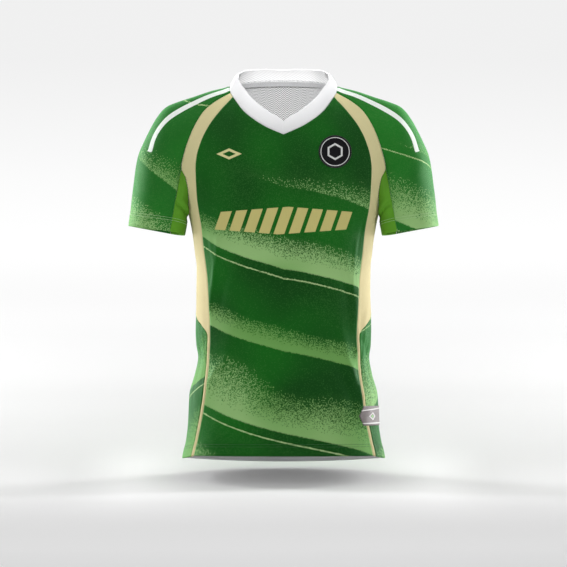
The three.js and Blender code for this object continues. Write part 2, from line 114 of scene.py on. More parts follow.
sleeveOuter = columns(["z", "x"], [
    [-264, 294.5], [-237, 290.3], [-212, 287.9], [-161, 281.8], [-130, 275.5], [-109, 267.3],
    [-78.5, 252.9], [-58, 240.5], [-38, 221.9], [-28, 199.3], [-19, 172.5], [-8, 137.6], [0, 102],
])
sleeveSlope = columns(["row", "slope"], [[0, -0.6], [9, -0.7], [11, -0.35], [14, 0.4], [17, 0.7]])
collarLean = columns(["angle", "inward", "back", "rise"], [
    [0, 0, 8, 25], [19, 15.5, 8, 23], [45, 15.5, 6, 25], [62, 15.5, 3, 24],
    [90, 16, 0, 27], [125, 11, -4, 25], [180, 0, -6, 21],
])

# Folds of the trunk: turn and height z at both ends of a line, then its width and height.
# The first eleven are the large ones of the solids, the others are the finer creases.
trunkFolds = np.array([
    [0.6, -345, 0.58, -455, 13, 2.6],
    [0.47, -360, 0.5, -430, 15, -1.6],
    [0.63, -500, 0.5, -560, 12, 2],
    [0.7, -485, 0.86, -505, 10, -2.4],
    [0.5, -170, 0.72, -245, 16, 2],
    [0.42, -215, 0.66, -275, 15, -1.8],
    [1.2, -505, 1.5, -530, 14, -3],
    [1.25, -470, 1.6, -490, 14, 2.6],
    [1.6, -560, 1.95, -545, 16, -2.4],
    [1.3, -190, 1.55, -290, 18, 2.6],
    [1.42, -170, 1.7, -250, 17, -2],
    [0.57, -300, 0.545, -395, 5, 1.3],
    [0.63, -262, 0.6, -318, 6, -0.9],
    [0.52, -520, 0.6, -590, 8, 1.1],
    [0.44, -560, 0.53, -640, 10, -0.9],
    [0.74, -455, 0.72, -560, 6, 1.2],
    [0.84, -470, 0.8, -600, 8, -1.3],
    [0.93, -500, 0.9, -520, 7, -1.6],
    [0.3, -190, 0.46, -232, 14, 0.8],
    [0.2, -600, 0.26, -680, 16, 0.8],
    [1.12, -270, 1.18, -380, 10, 1.2],
    [1.1, -520, 1.35, -560, 9, 1.5],
    [1.45, -600, 1.5, -690, 15, 1.2],
    [1.72, -580, 1.75, -680, 18, -1],
    [1.75, -440, 1.95, -470, 13, 1.4],
    [1.2, -240, 1.34, -330, 8, -1.2],
])
# Finer creases on the wearer's left and right alone.
leftFolds = np.array([
    [0.415, -468, 0.563, -568, 15, 3.2],
    [0.35, -498, 0.49, -598, 13, -2.0],
    [0.47, -322, 0.55, -378, 6, 1.9],
    [0.4, -345, 0.5, -396, 7, -1.3],
    [0.62, -585, 0.5, -640, 9, 1.4],
    [0.8, -420, 0.72, -446, 7, 1.6],
    [1.3, -420, 1.16, -500, 9, 2.0],
    [1.6, -330, 1.72, -440, 15, 1.6],
])
rightFolds = np.array([
    [0.6, -562, 0.44, -518, 10, 2.6],
    [0.5, -580, 0.36, -548, 9, -1.6],
    [0.49, -292, 0.61, -418, 7, 2.1],
    [0.38, -330, 0.5, -420, 9, -1.3],
    [0.3, -430, 0.42, -500, 14, 1.5],
    [0.84, -430, 0.74, -462, 8, -1.5],
    [1.2, -350, 1.34, -450, 11, 1.8],
    [1.66, -500, 1.5, -600, 14, 1.7],
])
# The same for a sleeve: side and distance from the cuff at both ends, then width and height.
# The side is -1 at the front seam, 0 on the outside and 1 at the back seam.
sleeveFolds = np.array([
    [-0.9, 70, -0.35, 128, 13, 1.6],
    [-0.85, 38, -0.2, 78, 12, -1.2],
    [-0.95, 112, -0.55, 168, 10, -1.3],
    [0.85, 60, 0.3, 120, 15, 1.6],
    [0.9, 105, 0.5, 175, 12, -1.5],
    [-0.15, 20, -0.05, 95, 14, 0.8],
])
gussetFolds = np.array([
    [-1.0, 56, -0.05, 36, 4, -4.6],
    [-1.0, 67, -0.1, 48, 6, 3.2],
    [-0.9, 30, -0.2, 22, 5, 1.0],
    [0.95, 50, 0.1, 33, 4, -2.4],
    [0.9, 66, 0.2, 48, 6, 1.8],
])
rightShare = 0.7  # the folds on the wearer's right are shallower
cloth = {
    "wall": 1.1,
    "hemWall": 2.1,
    "hemDepth": 23.0,
    "seamDepth": 0.45,
    "seamWidth": 1.3,
    "seamRoll": 0.35,
    "ripple": 0.45,
    "sleeveReach": 90,
    "gussetReach": 55,
}


def lookUp(table, key, column, at):
    # A cubic through the rows of a table, with slopes that never overshoot them.
    xs, ys = table[key], table[column]
    width = np.diff(xs)
    rate = np.diff(ys) / width
    slope = np.concatenate([rate[:1], np.zeros(len(xs) - 2), rate[-1:]])
    turning = rate[:-1] * rate[1:] <= 0
    before, after = 2 * width[1:] + width[:-1], width[1:] + 2 * width[:-1]
    left, right = np.where(turning, 1, rate[:-1]), np.where(turning, 1, rate[1:])
    slope[1:-1] = np.where(turning, 0, (before + after) / (before / left + after / right))
    t = np.clip(at, xs[0], xs[-1])
    i = np.clip(np.searchsorted(xs, t, side="right") - 1, 0, len(xs) - 2)
    s, w = (t - xs[i]) / width[i], width[i]
    start = ys[i] * (1 + 2 * s) * (1 - s) ** 2 + w * slope[i] * s * (1 - s) ** 2
    return start + ys[i + 1] * s * s * (3 - 2 * s) - w * slope[i + 1] * s * s * (1 - s)


def mix(a, b, t):
    return a + (b - a) * t


def smoothStep(t):
    t = np.clip(t, 0, 1)
    return t * t * (3 - 2 * t)


def unit(v):
    return v / np.maximum(np.linalg.norm(v, axis=-1, keepdims=True), 1e-12)


def stack(*parts):
    return np.stack(np.broadcast_arrays(*parts), axis=-1)


def foldSum(table, scale, first, second):
    # Each fold is a bell across its line, which fades past both ends of the line.
    total = np.zeros(np.broadcast(first, second).shape)
    for a0, b0, a1, b1, width, height in table:
        ax, ay = (a1 - a0) * scale, b1 - b0
        length = math.hypot(ax, ay)
        px, py = (first - a0) * scale, second - b0
        t = (px * ax + py * ay) / length ** 2
        across = (px * ay - py * ax) / length
        past = np.maximum(0, np.maximum(-t, t - 1)) * length
        fade = 1 - smoothStep(past / (3 * width))
        taper = 0.4 + 0.6 * np.sin(math.pi * np.clip(t * 0.8 + 0.1, 0, 1))
        total = total + height * taper * fade * np.exp(-((across / width) ** 2))
    return total


def trunkPoint(turn, z, mirror=1.0):
    # A superellipse section whose depth shrinks as a quarter round towards the shoulder
    # ridge. A turn is 0 at the centre front, 1 at the side and 2 at the centre back.
    turn, z, mirror = np.broadcast_arrays(turn, z, mirror)
    half = lookUp(trunkSections, "z", "half", z)
    before = lookUp(trunkSections, "z", "front", z)
    behind = lookUp(trunkSections, "z", "back", z)
    depth = np.where(turn < 1, before, behind)
    angle = turn * math.pi / 2
    power = 2 / jersey["roundness"]
    x = half * np.abs(np.sin(angle)) ** power
    start = jersey["shoulderStart"]
    rise = (z - start) / (lookUp(shoulderRidge, "x", "z", x) - start)
    turnIn = np.sqrt(1 - np.clip(rise, 0, 1) ** 2)
    y = -np.sign(np.cos(angle)) * depth * np.abs(np.cos(angle)) ** power
    out = unit(stack(x / half ** 2, y * turnIn / depth ** 2))
    ripple = np.sin(z / 19 + 5 * turn + mirror) * np.sin(z / 47 - 3.1 * turn)
    both, left, right = (
        foldSum(table, jersey["quarterGirth"], turn, z)
        for table in (trunkFolds, leftFolds, rightFolds)
    )
    fold = np.where(mirror < 0, rightShare * both + right, both + left)
    fold = (fold + cloth["ripple"] * ripple) * turnIn
    return stack(mirror * (x + out[..., 0] * fold), y * turnIn + out[..., 1] * fold, z)


def turnAt(x, z, behind=False):
    half = lookUp(trunkSections, "z", "half", z)
    turn = np.arcsin(np.clip(x / half, 0, 1) ** (jersey["roundness"] / 2)) / (math.pi / 2)
    return 2 - turn if behind else turn


def equalLengths(table, low, high, count):
    samples = np.linspace(low, high, 201)
    xs = lookUp(table, "z", "x", samples)
    run = np.concatenate([[0], np.cumsum(np.hypot(np.diff(xs), np.diff(samples)))])
    return np.interp(np.linspace(0, run[-1], count + 1), run, samples)


def hemDrop(turn):
    side = jersey["sideHemZ"] - jersey["frontHemZ"]
    before = side * smoothStep((turn - 0.55) / 0.45)
    behind = mix(jersey["sideHemZ"], jersey["backHemZ"], smoothStep(turn - 1)) - jersey["frontHemZ"]
    return np.where(turn < 1, before, behind)


def trunkRows():
    # Height and turn of the band's two edges and of the back's edge, from hem to neck.
    spans = [
        (jersey["frontHemZ"], jersey["taperLow"], rowSteps["strip"]),
        (jersey["taperLow"], jersey["taperHigh"], rowSteps["taper"]),
        (jersey["taperHigh"], jersey["crotchZ"], rowSteps["side"]),
    ]
    low = np.concatenate([np.linspace(a, b, n * fine + 1)[:-1] for a, b, n in spans])

    def high(table, end):
        armhole = equalLengths(table, jersey["crotchZ"], jersey["wedgeZ"], rowSteps["armhole"] * fine)
        raglan = equalLengths(table, jersey["wedgeZ"], end, rowSteps["raglan"] * fine)
        return np.concatenate([armhole[:-1], raglan])

    innerZ = np.concatenate([low, high(bandInner, bandInner["z"][-1])])
    innerTurn = turnAt(lookUp(bandInner, "z", "x", innerZ), innerZ)
    outerHigh = high(bandOuter, bandOuter["z"][-1])
    backHigh = high(backEdge, jersey["backNeckEdgeZ"])
    side = 1 + jersey["sideWrap"] * smoothStep((jersey["crotchZ"] - low) / 60)
    strip = turnAt(lookUp(bandInner, "z", "x", low) + jersey["stripWidth"], low)
    taper = (low - jersey["taperLow"]) / (jersey["taperHigh"] - jersey["taperLow"])
    turn = mix(strip, side, smoothStep(taper))
    reach = 1 - (low - jersey["frontHemZ"]) / (jersey["taperLow"] - jersey["frontHemZ"])
    edgeZ = low + np.where(low < jersey["taperLow"], hemDrop(turn) * reach, 0)
    outerTurn = turnAt(lookUp(bandOuter, "z", "x", outerHigh), outerHigh)
    backTurn = turnAt(lookUp(backEdge, "z", "x", backHigh), backHigh, True)
    return {
        "inner": (innerTurn, innerZ),
        "outer": (np.concatenate([turn, outerTurn]), np.concatenate([edgeZ, outerHigh])),
        "back": (np.concatenate([turn, backTurn]), np.concatenate([edgeZ, backHigh])),
    }


def crowded(count, share=0.8):
    # Stations from 0 to 1 that stand closer together at both ends, where the seams are.
    s = np.linspace(0, 1, count + 1)
    return mix(s, 0.5 - 0.5 * np.cos(math.pi * s), share)


def frontGrid(rows, count):
    across = 2 * crowded(count) - 1
    innerZ = rows["inner"][1][:, None]
    share = (innerZ - innerZ[0]) / (innerZ[-1] - innerZ[0])
    edge = lookUp(bandInner, "z", "x", innerZ)
    neck = lookUp(frontNeck, "x", "z", np.abs(across) * frontNeck["x"][-1])[None]
    z = mix(jersey["frontHemZ"], neck, share)
    return trunkPoint(turnAt(np.abs(across) * edge, z), z, np.where(across < 0, -1, 1)[None])


def bandGrid(rows, count, mirror):
    t = crowded(count)[None]
    (turn0, z0), (turn1, z1) = rows["inner"], rows["outer"]
    points = trunkPoint(mix(turn0[:, None], turn1[:, None], t), mix(z0[:, None], z1[:, None], t), mirror)
    return points * [mirror, 1, 1]


def backGrid(rows, count):
    t = crowded(count)
    across = np.abs(2 * t - 1)[None]
    backTurn, backZ = (v[:, None] for v in rows["back"])
    share = (backZ - backZ[0]) / (backZ[-1] - backZ[0])
    hem = jersey["frontHemZ"] + hemDrop(mix(2, backTurn[0], across))
    neck = mix(jersey["backNeckZ"], jersey["backNeckEdgeZ"], across ** 2)
    return trunkPoint(mix(2, backTurn, across), mix(hem, neck, share), np.where(t < 0.5, 1, -1)[None])


def gussetEdge(top, behind):
    side = 1 if behind else -1
    rows = columns(["z", "x", "depth"], gussetSeam + [[jersey["wedgeZ"], top[0], side * top[1]]])
    z = equalLengths(rows, rows["z"][0], jersey["wedgeZ"], cuffSteps * fine)
    drop = jersey["cuffBackDrop"] * (1 - smoothStep((z - rows["z"][0]) / 50)) if behind else 0
    return stack(lookUp(rows, "z", "x", z), side * lookUp(rows, "z", "depth", z), z - drop)


def seamDirection(seam, outer, row, side):
    flat = unit((outer - seam) * [1, 0, 1])
    flat[..., 1] = -side * lookUp(sleeveSlope, "row", "slope", row)
    return unit(flat)


def bezier(a, b, c, d, t):
    t = t[None, :, None]
    a, b, c, d = (v[:, None, :] for v in (a, b, c, d))
    return (1 - t) ** 3 * a + 3 * (1 - t) ** 2 * t * b + 3 * (1 - t) * t * t * c + t ** 3 * d


def halfRing(seam, outer, row, side, t):
    reach = np.linalg.norm(outer - seam, axis=-1, keepdims=True)
    near = seam + seamDirection(seam, outer, row, side) * 0.45 * reach
    far = outer + np.array([0, side * 0.44, 0]) * reach
    return bezier(seam, near, far, outer, t)


def sleeveEdges(band, back):
    wedgeRow = len(band) - 1 - rowSteps["raglan"] * fine
    front, rear = band[wedgeRow:, -1], back[wedgeRow:, 0]
    (low, top), middle = sleeveOuter["z"][[0, -1]], jersey["sleeveOuterWedgeZ"]
    outerZ = np.concatenate([
        equalLengths(sleeveOuter, low, middle, cuffSteps * fine)[:-1],
        equalLengths(sleeveOuter, middle, top, rowSteps["raglan"] * fine),
    ])
    return {
        "front": np.concatenate([gussetEdge(front[0], False)[:-1], front]),
        "rear": np.concatenate([gussetEdge(rear[0], True)[:-1], rear]),
        "outer": stack(lookUp(sleeveOuter, "z", "x", outerZ), 0 * outerZ, outerZ),
    }


def gridNormals(grid, ring=False):
    across = np.gradient(grid, axis=1)
    if ring:
        closed = (np.roll(grid[:, :-1], -1, axis=1) - np.roll(grid[:, :-1], 1, axis=1)) / 2
        across = np.concatenate([closed, closed[:, :1]], axis=1)
    return unit(np.cross(across, np.gradient(grid, axis=0)))


def sleeveGrid(edges, count, mirror):
    row = np.arange(len(edges["outer"])) / fine
    half = crowded(count // 2, 0.45)
    half = half / half[-1]
    there = halfRing(edges["front"], edges["outer"], row, -1, half)
    back = halfRing(edges["rear"], edges["outer"], row, 1, 1 - half)[:, 1:]
    grid = np.concatenate([there, back], axis=1)
    side = np.concatenate([half - 1, half[1:]])[None]
    along = np.concatenate([[0], np.cumsum(np.linalg.norm(np.diff(edges["outer"], axis=0), axis=1))])
    share = rightShare if mirror < 0 else 1
    fold = share * foldSum(sleeveFolds, cloth["sleeveReach"], side, along[:, None])
    fold = fold + cloth["ripple"] * np.sin(along[:, None] / 17 + 2 * side) * np.sin(3 * side + 1)
    fold = fold * (1 - side ** 4) * smoothStep((along[-1] - along[:, None]) / 30)
    return grid + gridNormals(grid) * fold[..., None]


def gussetGrid(edges, band, back, mirror):
    # A patch blended between the cuff arc, the two sleeve seams and the armhole seam.
    first = (rowSteps["strip"] + rowSteps["taper"] + rowSteps["side"]) * fine
    last = first + rowSteps["armhole"] * fine
    top = np.concatenate([back[first + 1:last + 1, 0][::-1], band[first:last + 1, -1]])
    inner = np.array([jersey["cuffInnerX"], 0, jersey["cuffInnerZ"] - jersey["cuffBackDrop"] / 2])

    def arc(seam, side, t):
        away = seamDirection(seam[None], edges["outer"][:1], 0, side)[0]
        reach = np.linalg.norm(seam - inner)
        near, far = seam - away * 0.45 * reach, inner + np.array([0, side * 0.6 * reach, 0])
        return bezier(seam[None], near[None], far[None], inner[None], t)[0]

    t = np.linspace(0, 1, rowSteps["armhole"] * fine + 1)
    bottom = np.concatenate([arc(edges["rear"][0], 1, t), arc(edges["front"][0], -1, 1 - t)[1:]])
    s = np.linspace(0, 1, len(bottom))[None, :, None]
    w = np.linspace(0, 1, cuffSteps * fine + 1)[:, None, None]
    rear, front = (edges[name][: cuffSteps * fine + 1, None] for name in ("rear", "front"))
    corners = mix(mix(bottom[0], bottom[-1], s), mix(top[0], top[-1], s), w)
    grid = mix(rear, front, s) + mix(bottom[None], top[None], w) - corners
    along = np.linalg.norm(np.diff(grid, axis=0), axis=-1).cumsum(axis=0)
    along = np.concatenate([0 * along[:1], along])
    side = 2 * s[..., 0] - 1
    fold = (1 if mirror < 0 else rightShare) * foldSum(gussetFolds, cloth["gussetReach"], -side, along)
    fold = fold * (1 - side ** 14) * smoothStep((along[-1] - along) / 12)
    return grid + gridNormals(grid) * fold[..., None]


def collarGrid(seam, count):
    t = np.linspace(0, 1, count + 1)[:, None]
    angle = np.degrees(np.arctan2(np.abs(seam[:, 0]), -seam[:, 1]))[None]
    inward, back, rise = (lookUp(collarLean, "angle", c, angle) for c in ("inward", "back", "rise"))
    x = -np.sign(seam[:, 0]) * np.minimum(np.abs(seam[:, 0]), inward)
    out = unit(seam * [1, 1, 0])[None] * (1.5 * np.sin(math.pi * t))[..., None]
    return seam[None] + stack(x * t, back * t, rise * t) + out


def mirrored(grid):
    return grid[:, ::-1] * np.array([-1, 1, 1])


def runLength(grid, axis):
    run = np.linalg.norm(np.diff(grid, axis=axis), axis=-1).cumsum(axis=axis)
    return np.concatenate([0 * np.take(run, [0], axis=axis), run], axis=axis)


def seamProfile(distance):
    # A seam is a narrow groove with a soft roll of the pressed allowance beside it.
    groove = -cloth["seamDepth"] * np.exp(-((distance / cloth["seamWidth"]) ** 2))
    return groove + cloth["seamRoll"] * np.exp(-(((distance - 3.6) / 1.7) ** 2))


def clothRelief(grid, seams, hem):
    # Height to add to a panel's outside: grooves along its seams, and a pucker beside them.
    relief = np.zeros(grid.shape[:2])
    across, up = runLength(grid, 1), runLength(grid, 0)
    distances = {
        "left": across, "right": across[:, -1:] - across, "top": up[-1:] - up, "bottom": up,
    }
    for name in seams:
        distance = distances[name]
        along = up if name in ("left", "right") else across
        near = np.exp(-((distance - 5) / 4) ** 2)
        pucker = 0.14 * np.sin(along / 2.9 + 1.7 * np.sin(along / 11)) * near
        relief += seamProfile(distance) + pucker
    if hem:
        fold = smoothStep((cloth["hemDepth"] - up) / 2.5)
        pucker = 0.16 * np.sin(across / 2.7 + np.sin(across / 13)) * np.exp(-((up - 21) / 6) ** 2)
        relief += 0.45 * fold + pucker - 0.35 * smoothStep((2.5 - up) / 2.5)
    return relief


def makeMesh(name, points, faces, uv=None, kind=None, smooth=True, values=None):
    # A mesh from points in metres, with a place on the cloth and other values at each point.
    mesh = bpy.data.meshes.new(name)
    mesh.from_pydata(points.tolist(), [], faces)
    mesh.polygons.foreach_set("use_smooth", np.ones(len(faces), bool) & smooth)
    if kind is not None:
        mesh.polygons.foreach_set("material_index", kind)
    if uv is not None:
        loops = np.empty(len(mesh.loops), np.int32)
        mesh.loops.foreach_get("vertex_index", loops)
        layer = mesh.uv_layers.new(name="cloth")
        layer.data.foreach_set("uv", uv[loops].astype(np.float32).ravel())
    for key, value in (values or {}).items():
        layer = mesh.attributes.new(key, "FLOAT", "POINT")
        layer.data.foreach_set("value", value.ravel().astype(np.float32))
    mesh.update()
    return mesh


def addObject(name, mesh, slots):
    piece = bpy.data.objects.new(name, mesh)
    bpy.context.scene.collection.objects.link(piece)
    for slot in slots:
        mesh.materials.append(slot)
    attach(piece, "root")
    return piece


def wallPiece(name, outer, wall, uv, slots, ring=False, values=None, turned=0):
    # A closed wall: the grid outside, the same points moved in along their normals inside,
    # and strips round the rim. A ring's last column joins its first. The inside shows the
    # outer cloth on the lowest rows where a hem is turned up.
    normals = gridNormals(outer, ring)
    inner = outer - normals * np.broadcast_to(wall, outer.shape[:2])[..., None]
    if ring:
        outer, inner = outer[:, :-1], inner[:, :-1]
    rows, count = outer.shape[:2]
    ids = np.arange(rows * count).reshape(rows, count)
    if ring:
        ids = np.concatenate([ids, ids[:, :1]], axis=1)
    back = ids + rows * count

    def strip(a, b, c, d):
        return np.stack([a.ravel(), b.ravel(), c.ravel(), d.ravel()], axis=1)

    outside = strip(ids[:-1, :-1], ids[:-1, 1:], ids[1:, 1:], ids[1:, :-1])
    inside = strip(back[:-1, :-1], back[1:, :-1], back[1:, 1:], back[:-1, 1:])
    rims = [
        strip(ids[0, :-1], back[0, :-1], back[0, 1:], ids[0, 1:]),
        strip(ids[-1, :-1], ids[-1, 1:], back[-1, 1:], back[-1, :-1]),
    ]
    if not ring:
        rims.append(strip(ids[:-1, 0], ids[1:, 0], back[1:, 0], back[:-1, 0]))
        rims.append(strip(ids[:-1, -1], back[:-1, -1], back[1:, -1], ids[1:, -1]))
    faces = np.concatenate([outside, inside, *rims])
    points = np.concatenate([outer.reshape(-1, 3), inner.reshape(-1, 3)]) * mm
    kind = np.zeros(len(faces), np.int32)
    kind[len(outside) + turned * (ids.shape[1] - 1):len(outside) + len(inside)] = len(slots) - 1
    kind[len(outside) + len(inside) + len(rims[0]):] = len(slots) - 1
    smooth = np.ones(len(faces), bool)
    smooth[len(outside) + len(inside):] = False
    uv = uv[:, :-1] if ring else uv
    place = np.tile(uv.reshape(-1, 2), (2, 1)) * mm
    doubled = {key: np.tile(value.ravel(), 2) for key, value in (values or {}).items()}
    return addObject(name, makeMesh(name, points, faces.tolist(), place, kind, smooth, doubled), slots)


def eased(values, reach):
    # A weighted mean over the columns on both sides.
    weights = np.hanning(2 * reach + 3)[1:-1]
    wide = np.pad(values, ((0, 0), (reach, reach)), mode="reflect", reflect_type="odd")
    count = values.shape[1]
    return sum(w * wide[:, k:k + count] for k, w in enumerate(weights)) / weights.sum()


def clothUv(grid, middle=0.5):
    # Lengths over the cloth, eased so that a print runs on evenly over the folds.
    across, up = runLength(grid, 1), runLength(grid, 0)
    centre = across[:, [int(middle * (grid.shape[1] - 1))]]
    return stack(across - centre, eased(up, min(18, (grid.shape[1] - 1) // 3)))


def clothPanel(name, grid, seams, slots, hem=False, values=None, turned=False):
    outer = grid + gridNormals(grid) * clothRelief(grid, seams, hem)[..., None]
    up = runLength(grid, 0)
    thicker = smoothStep((cloth["hemDepth"] - up) / 2) if hem else 0
    wall = mix(cloth["wall"], cloth["hemWall"], thicker)
    turnedRows = int((up.mean(axis=1) < cloth["hemDepth"]).sum()) if turned else 0
    piece = wallPiece(name, outer, wall, clothUv(grid), slots, values=values, turned=turnedRows)
    print("made", name, len(piece.data.polygons), "faces")
    return piece


def cutSize(grid):
    # Width, length and area of the flat cut, in metres, measured over the panel.
    across, up = runLength(grid, 1), runLength(grid, 0)
    a, b = np.diff(grid, axis=1)[:-1], np.diff(grid, axis=0)[:, :-1]
    area = np.linalg.norm(np.cross(a, b), axis=-1).sum() * 1e-6
    width, length = across[:, -1].max() * mm, up[-1].max() * mm
    return (round(float(width), 3), round(float(length), 3)), round(float(area), 4)


def declareCloth(piece, grid, node):
    flat, area = cutSize(grid)
    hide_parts(node)
    area = min(area, flat[0] * flat[1])
    print("cut", node, flat, area)


# Shader helpers: each puts a node into a tree and returns its output.
def addNode(tree, kind, inputs=None, **settings):
    node = tree.nodes.new("ShaderNode" + kind)
    for key, value in settings.items():
        setattr(node, key, value)
    for key, value in (inputs or {}).items():
        socket = node.inputs[key]
        if isinstance(value, bpy.types.NodeSocket):
            tree.links.new(value, socket)
        else:
            socket.default_value = value
    return node


def mathNode(operation):
    # A function of linked values and numbers that puts a math node into their tree.
    def apply(*values, clamp=False):
        tree = next(value.id_data for value in values if isinstance(value, bpy.types.NodeSocket))
        inputs = dict(enumerate(values))
        return addNode(tree, "Math", inputs, operation=operation, use_clamp=clamp).outputs[0]

    return apply


plus, minus, times, over = map(mathNode, ("ADD", "SUBTRACT", "MULTIPLY", "DIVIDE"))
timesPlus, toPower, absolute = map(mathNode, ("MULTIPLY_ADD", "POWER", "ABSOLUTE"))
below, exceeds, larger = map(mathNode, ("LESS_THAN", "GREATER_THAN", "MAXIMUM"))
fraction, wholePart, squareRoot = map(mathNode, ("FRACT", "FLOOR", "SQRT"))
sine, pingPong = map(mathNode, ("SINE", "PINGPONG"))


def apart(a, b):
    return absolute(minus(a, b))


def within(a, b, reach):
    return below(apart(a, b), reach)


def mixColor(tree, factor, a, b):
    node = addNode(tree, "Mix", {0: factor, 6: a, 7: b}, data_type="RGBA")
    return node.outputs[2]


def rampValue(tree, value, low, high):
    inputs = {"Value": value, "From Min": low, "From Max": high, "To Min": 0.0, "To Max": 1.0}
    return addNode(tree, "MapRange", inputs, interpolation_type="SMOOTHSTEP").outputs[0]


def newGroup(name, inputs, outputs):
    tree = bpy.data.node_groups.new(name, "ShaderNodeTree")
    for label, kind, value in inputs:
        socket = tree.interface.new_socket(label, in_out="INPUT", socket_type="NodeSocket" + kind)
        if value is not None:
            socket.default_value = value
    for label, kind in outputs:
        tree.interface.new_socket(label, in_out="OUTPUT", socket_type="NodeSocket" + kind)
    return tree, tree.nodes.new("NodeGroupInput").outputs, tree.nodes.new("NodeGroupOutput").inputs


def useGroup(tree, group, **inputs):
    node = tree.nodes.new("ShaderNodeGroup")
    node.node_tree = group
    for key, value in inputs.items():
        if isinstance(value, bpy.types.NodeSocket):
            tree.links.new(value, node.inputs[key])
        else:
            node.inputs[key].default_value = value
    return node.outputs


def rgb(red, green, blue):
    # A colour seen on a screen, from 0 to 255, as the linear values that shading uses.
    parts = np.array([red, green, blue]) / 255
    linear = np.where(parts <= 0.04045, parts / 12.92, ((parts + 0.055) / 1.055) ** 2.4)
    return (*(float(v) for v in linear), 1.0)


def makeKnitGroup():
    # Knit: columns of V-shaped stitches, as a height and as a slight painted shade between them.
    inputs = [("Place", "Vector", None), ("Pitch", "Float", 1.1)]
    tree, ins, outs = newGroup("knit", inputs, [("Height", "Float"), ("Shade", "Float")])
    place = addNode(tree, "SeparateXYZ", {0: ins["Place"]}).outputs
    metres = times(ins["Pitch"], 0.001)
    wale = over(place[0], metres)
    course = over(place[1], metres)
    lean = apart(fraction(wale), 0.5)
    course = plus(course, lean)
    a = absolute(sine(times(wale, 2 * math.pi)))
    b = absolute(sine(times(course, math.pi)))
    height = times(toPower(a, 0.6), toPower(b, 0.5))
    tree.links.new(height, outs["Height"])
    tree.links.new(rampValue(tree, height, -0.4, 0.7), outs["Shade"])
    return tree


def makePrintGroup():
    # Print: broad slanting bands that arch gently, each sharp on one side and dissolving in
    # grain on the other, with a thin pale line beside some of them. Each band draws its own
    # width and strength from a noise of its number.
    inputs = [
        ("Place", "Vector", None),
        ("Shift", "Float", 0.0),
        ("Lean", "Float", 0.0),
        ("Bands", "Float", 4.4),
        ("Ground", "Float", 0.0),
        ("Calm", "Float", 0.45),
    ]
    tree, ins, outs = newGroup("bandPrint", inputs, [("Color", "Color")])
    shift = addNode(tree, "CombineXYZ", {0: ins["Shift"], 1: ins["Shift"], 2: 0.0}).outputs[0]
    place = addNode(tree, "VectorMath", {0: ins["Place"], 1: shift}, operation="ADD").outputs[0]
    broad = addNode(tree, "TexNoise", {"Vector": place, "Scale": 5.0, "Detail": 1.0}).outputs
    tone = addNode(tree, "SeparateColor", {0: broad[1]}).outputs
    axes = addNode(tree, "SeparateXYZ", {0: ins["Place"]}).outputs
    arch = sine(timesPlus(axes[0], 2 * math.pi / 0.7, ins["Shift"]))
    up = timesPlus(arch, 0.024, axes[1])
    wave = timesPlus(axes[0], ins["Lean"], up)
    wave = timesPlus(wave, ins["Bands"], ins["Shift"])
    phase = fraction(wave)
    number = addNode(tree, "CombineXYZ", {0: wholePart(wave), 1: ins["Shift"]}).outputs[0]
    number = addNode(tree, "TexWhiteNoise", {0: number}).outputs[1]
    own = addNode(tree, "SeparateColor", {0: number}).outputs
    cell = addNode(tree, "VectorMath", {0: place, 1: (780.0,) * 3}, operation="MULTIPLY").outputs[0]
    cell = addNode(tree, "VectorMath", {0: cell}, operation="FLOOR").outputs[0]
    grain = addNode(tree, "TexWhiteNoise", {0: cell}).outputs[0]
    length = timesPlus(own[0], 0.4, 0.3)
    length = times(length, timesPlus(tone[0], 1.0, 0.6))
    fade = minus(1.0, over(phase, length), clamp=True)
    sharp = rampValue(tree, phase, 0.0, 0.03)
    level = times(toPower(fade, 0.9), times(sharp, 1.3))
    level = times(level, timesPlus(own[1], 0.4, 0.72))
    above = minus(axes[1], ins["Calm"])
    calm = minus(1.0, rampValue(tree, above, 0.0, 0.16), clamp=True)
    level = times(level, calm)
    dots = below(timesPlus(grain, 0.86, 0.07), level)
    soft = timesPlus(dots, 0.74, times(level, 0.2), clamp=True)
    line = apart(phase, 0.9)
    line = below(line, times(grain, 0.014))
    line = times(line, exceeds(own[2], 0.5))
    ground = mixColor(tree, rampValue(tree, tone[1], 0.35, 0.66), rgb(5, 64, 8), rgb(14, 96, 16))
    ground = mixColor(tree, ins["Ground"], ground, rgb(44, 134, 46))
    often = timesPlus(rampValue(tree, tone[2], 0.4, 0.62), 0.2, 0.08)
    speck = times(below(grain, often), 0.22)
    ground = mixColor(tree, speck, ground, rgb(70, 128, 58))
    light = mixColor(tree, rampValue(tree, tone[2], 0.35, 0.65), rgb(108, 158, 82), rgb(150, 190, 122))
    color = mixColor(tree, soft, ground, light)
    color = mixColor(tree, times(line, 0.8), color, rgb(186, 214, 150))
    tree.links.new(color, outs["Color"])
    return tree


knitGroup, printGroup = makeKnitGroup(), makePrintGroup()


def newMaterial(name, roughness=0.6, sheen=0.0, specular=0.07, tint=(1.0, 1.0, 1.0, 1.0)):
    material = bpy.data.materials.new(name)
    material.use_nodes = True
    tree = material.node_tree
    shader = tree.nodes["Principled BSDF"]
    shader.inputs["Roughness"].default_value = roughness
    shader.inputs["Sheen Weight"].default_value = sheen
    shader.inputs["Sheen Roughness"].default_value = 0.5
    shader.inputs["Sheen Tint"].default_value = tint
    shader.inputs["Specular IOR Level"].default_value = specular
    return material, tree, shader


def uvPlace(tree):
    return addNode(tree, "UVMap", uv_map="cloth").outputs[0]


def uvAxes(tree):
    return addNode(tree, "SeparateXYZ", {0: uvPlace(tree)}).outputs


knit = {"pitch": 1.15, "depth": 0.00016, "polish": 0.14}


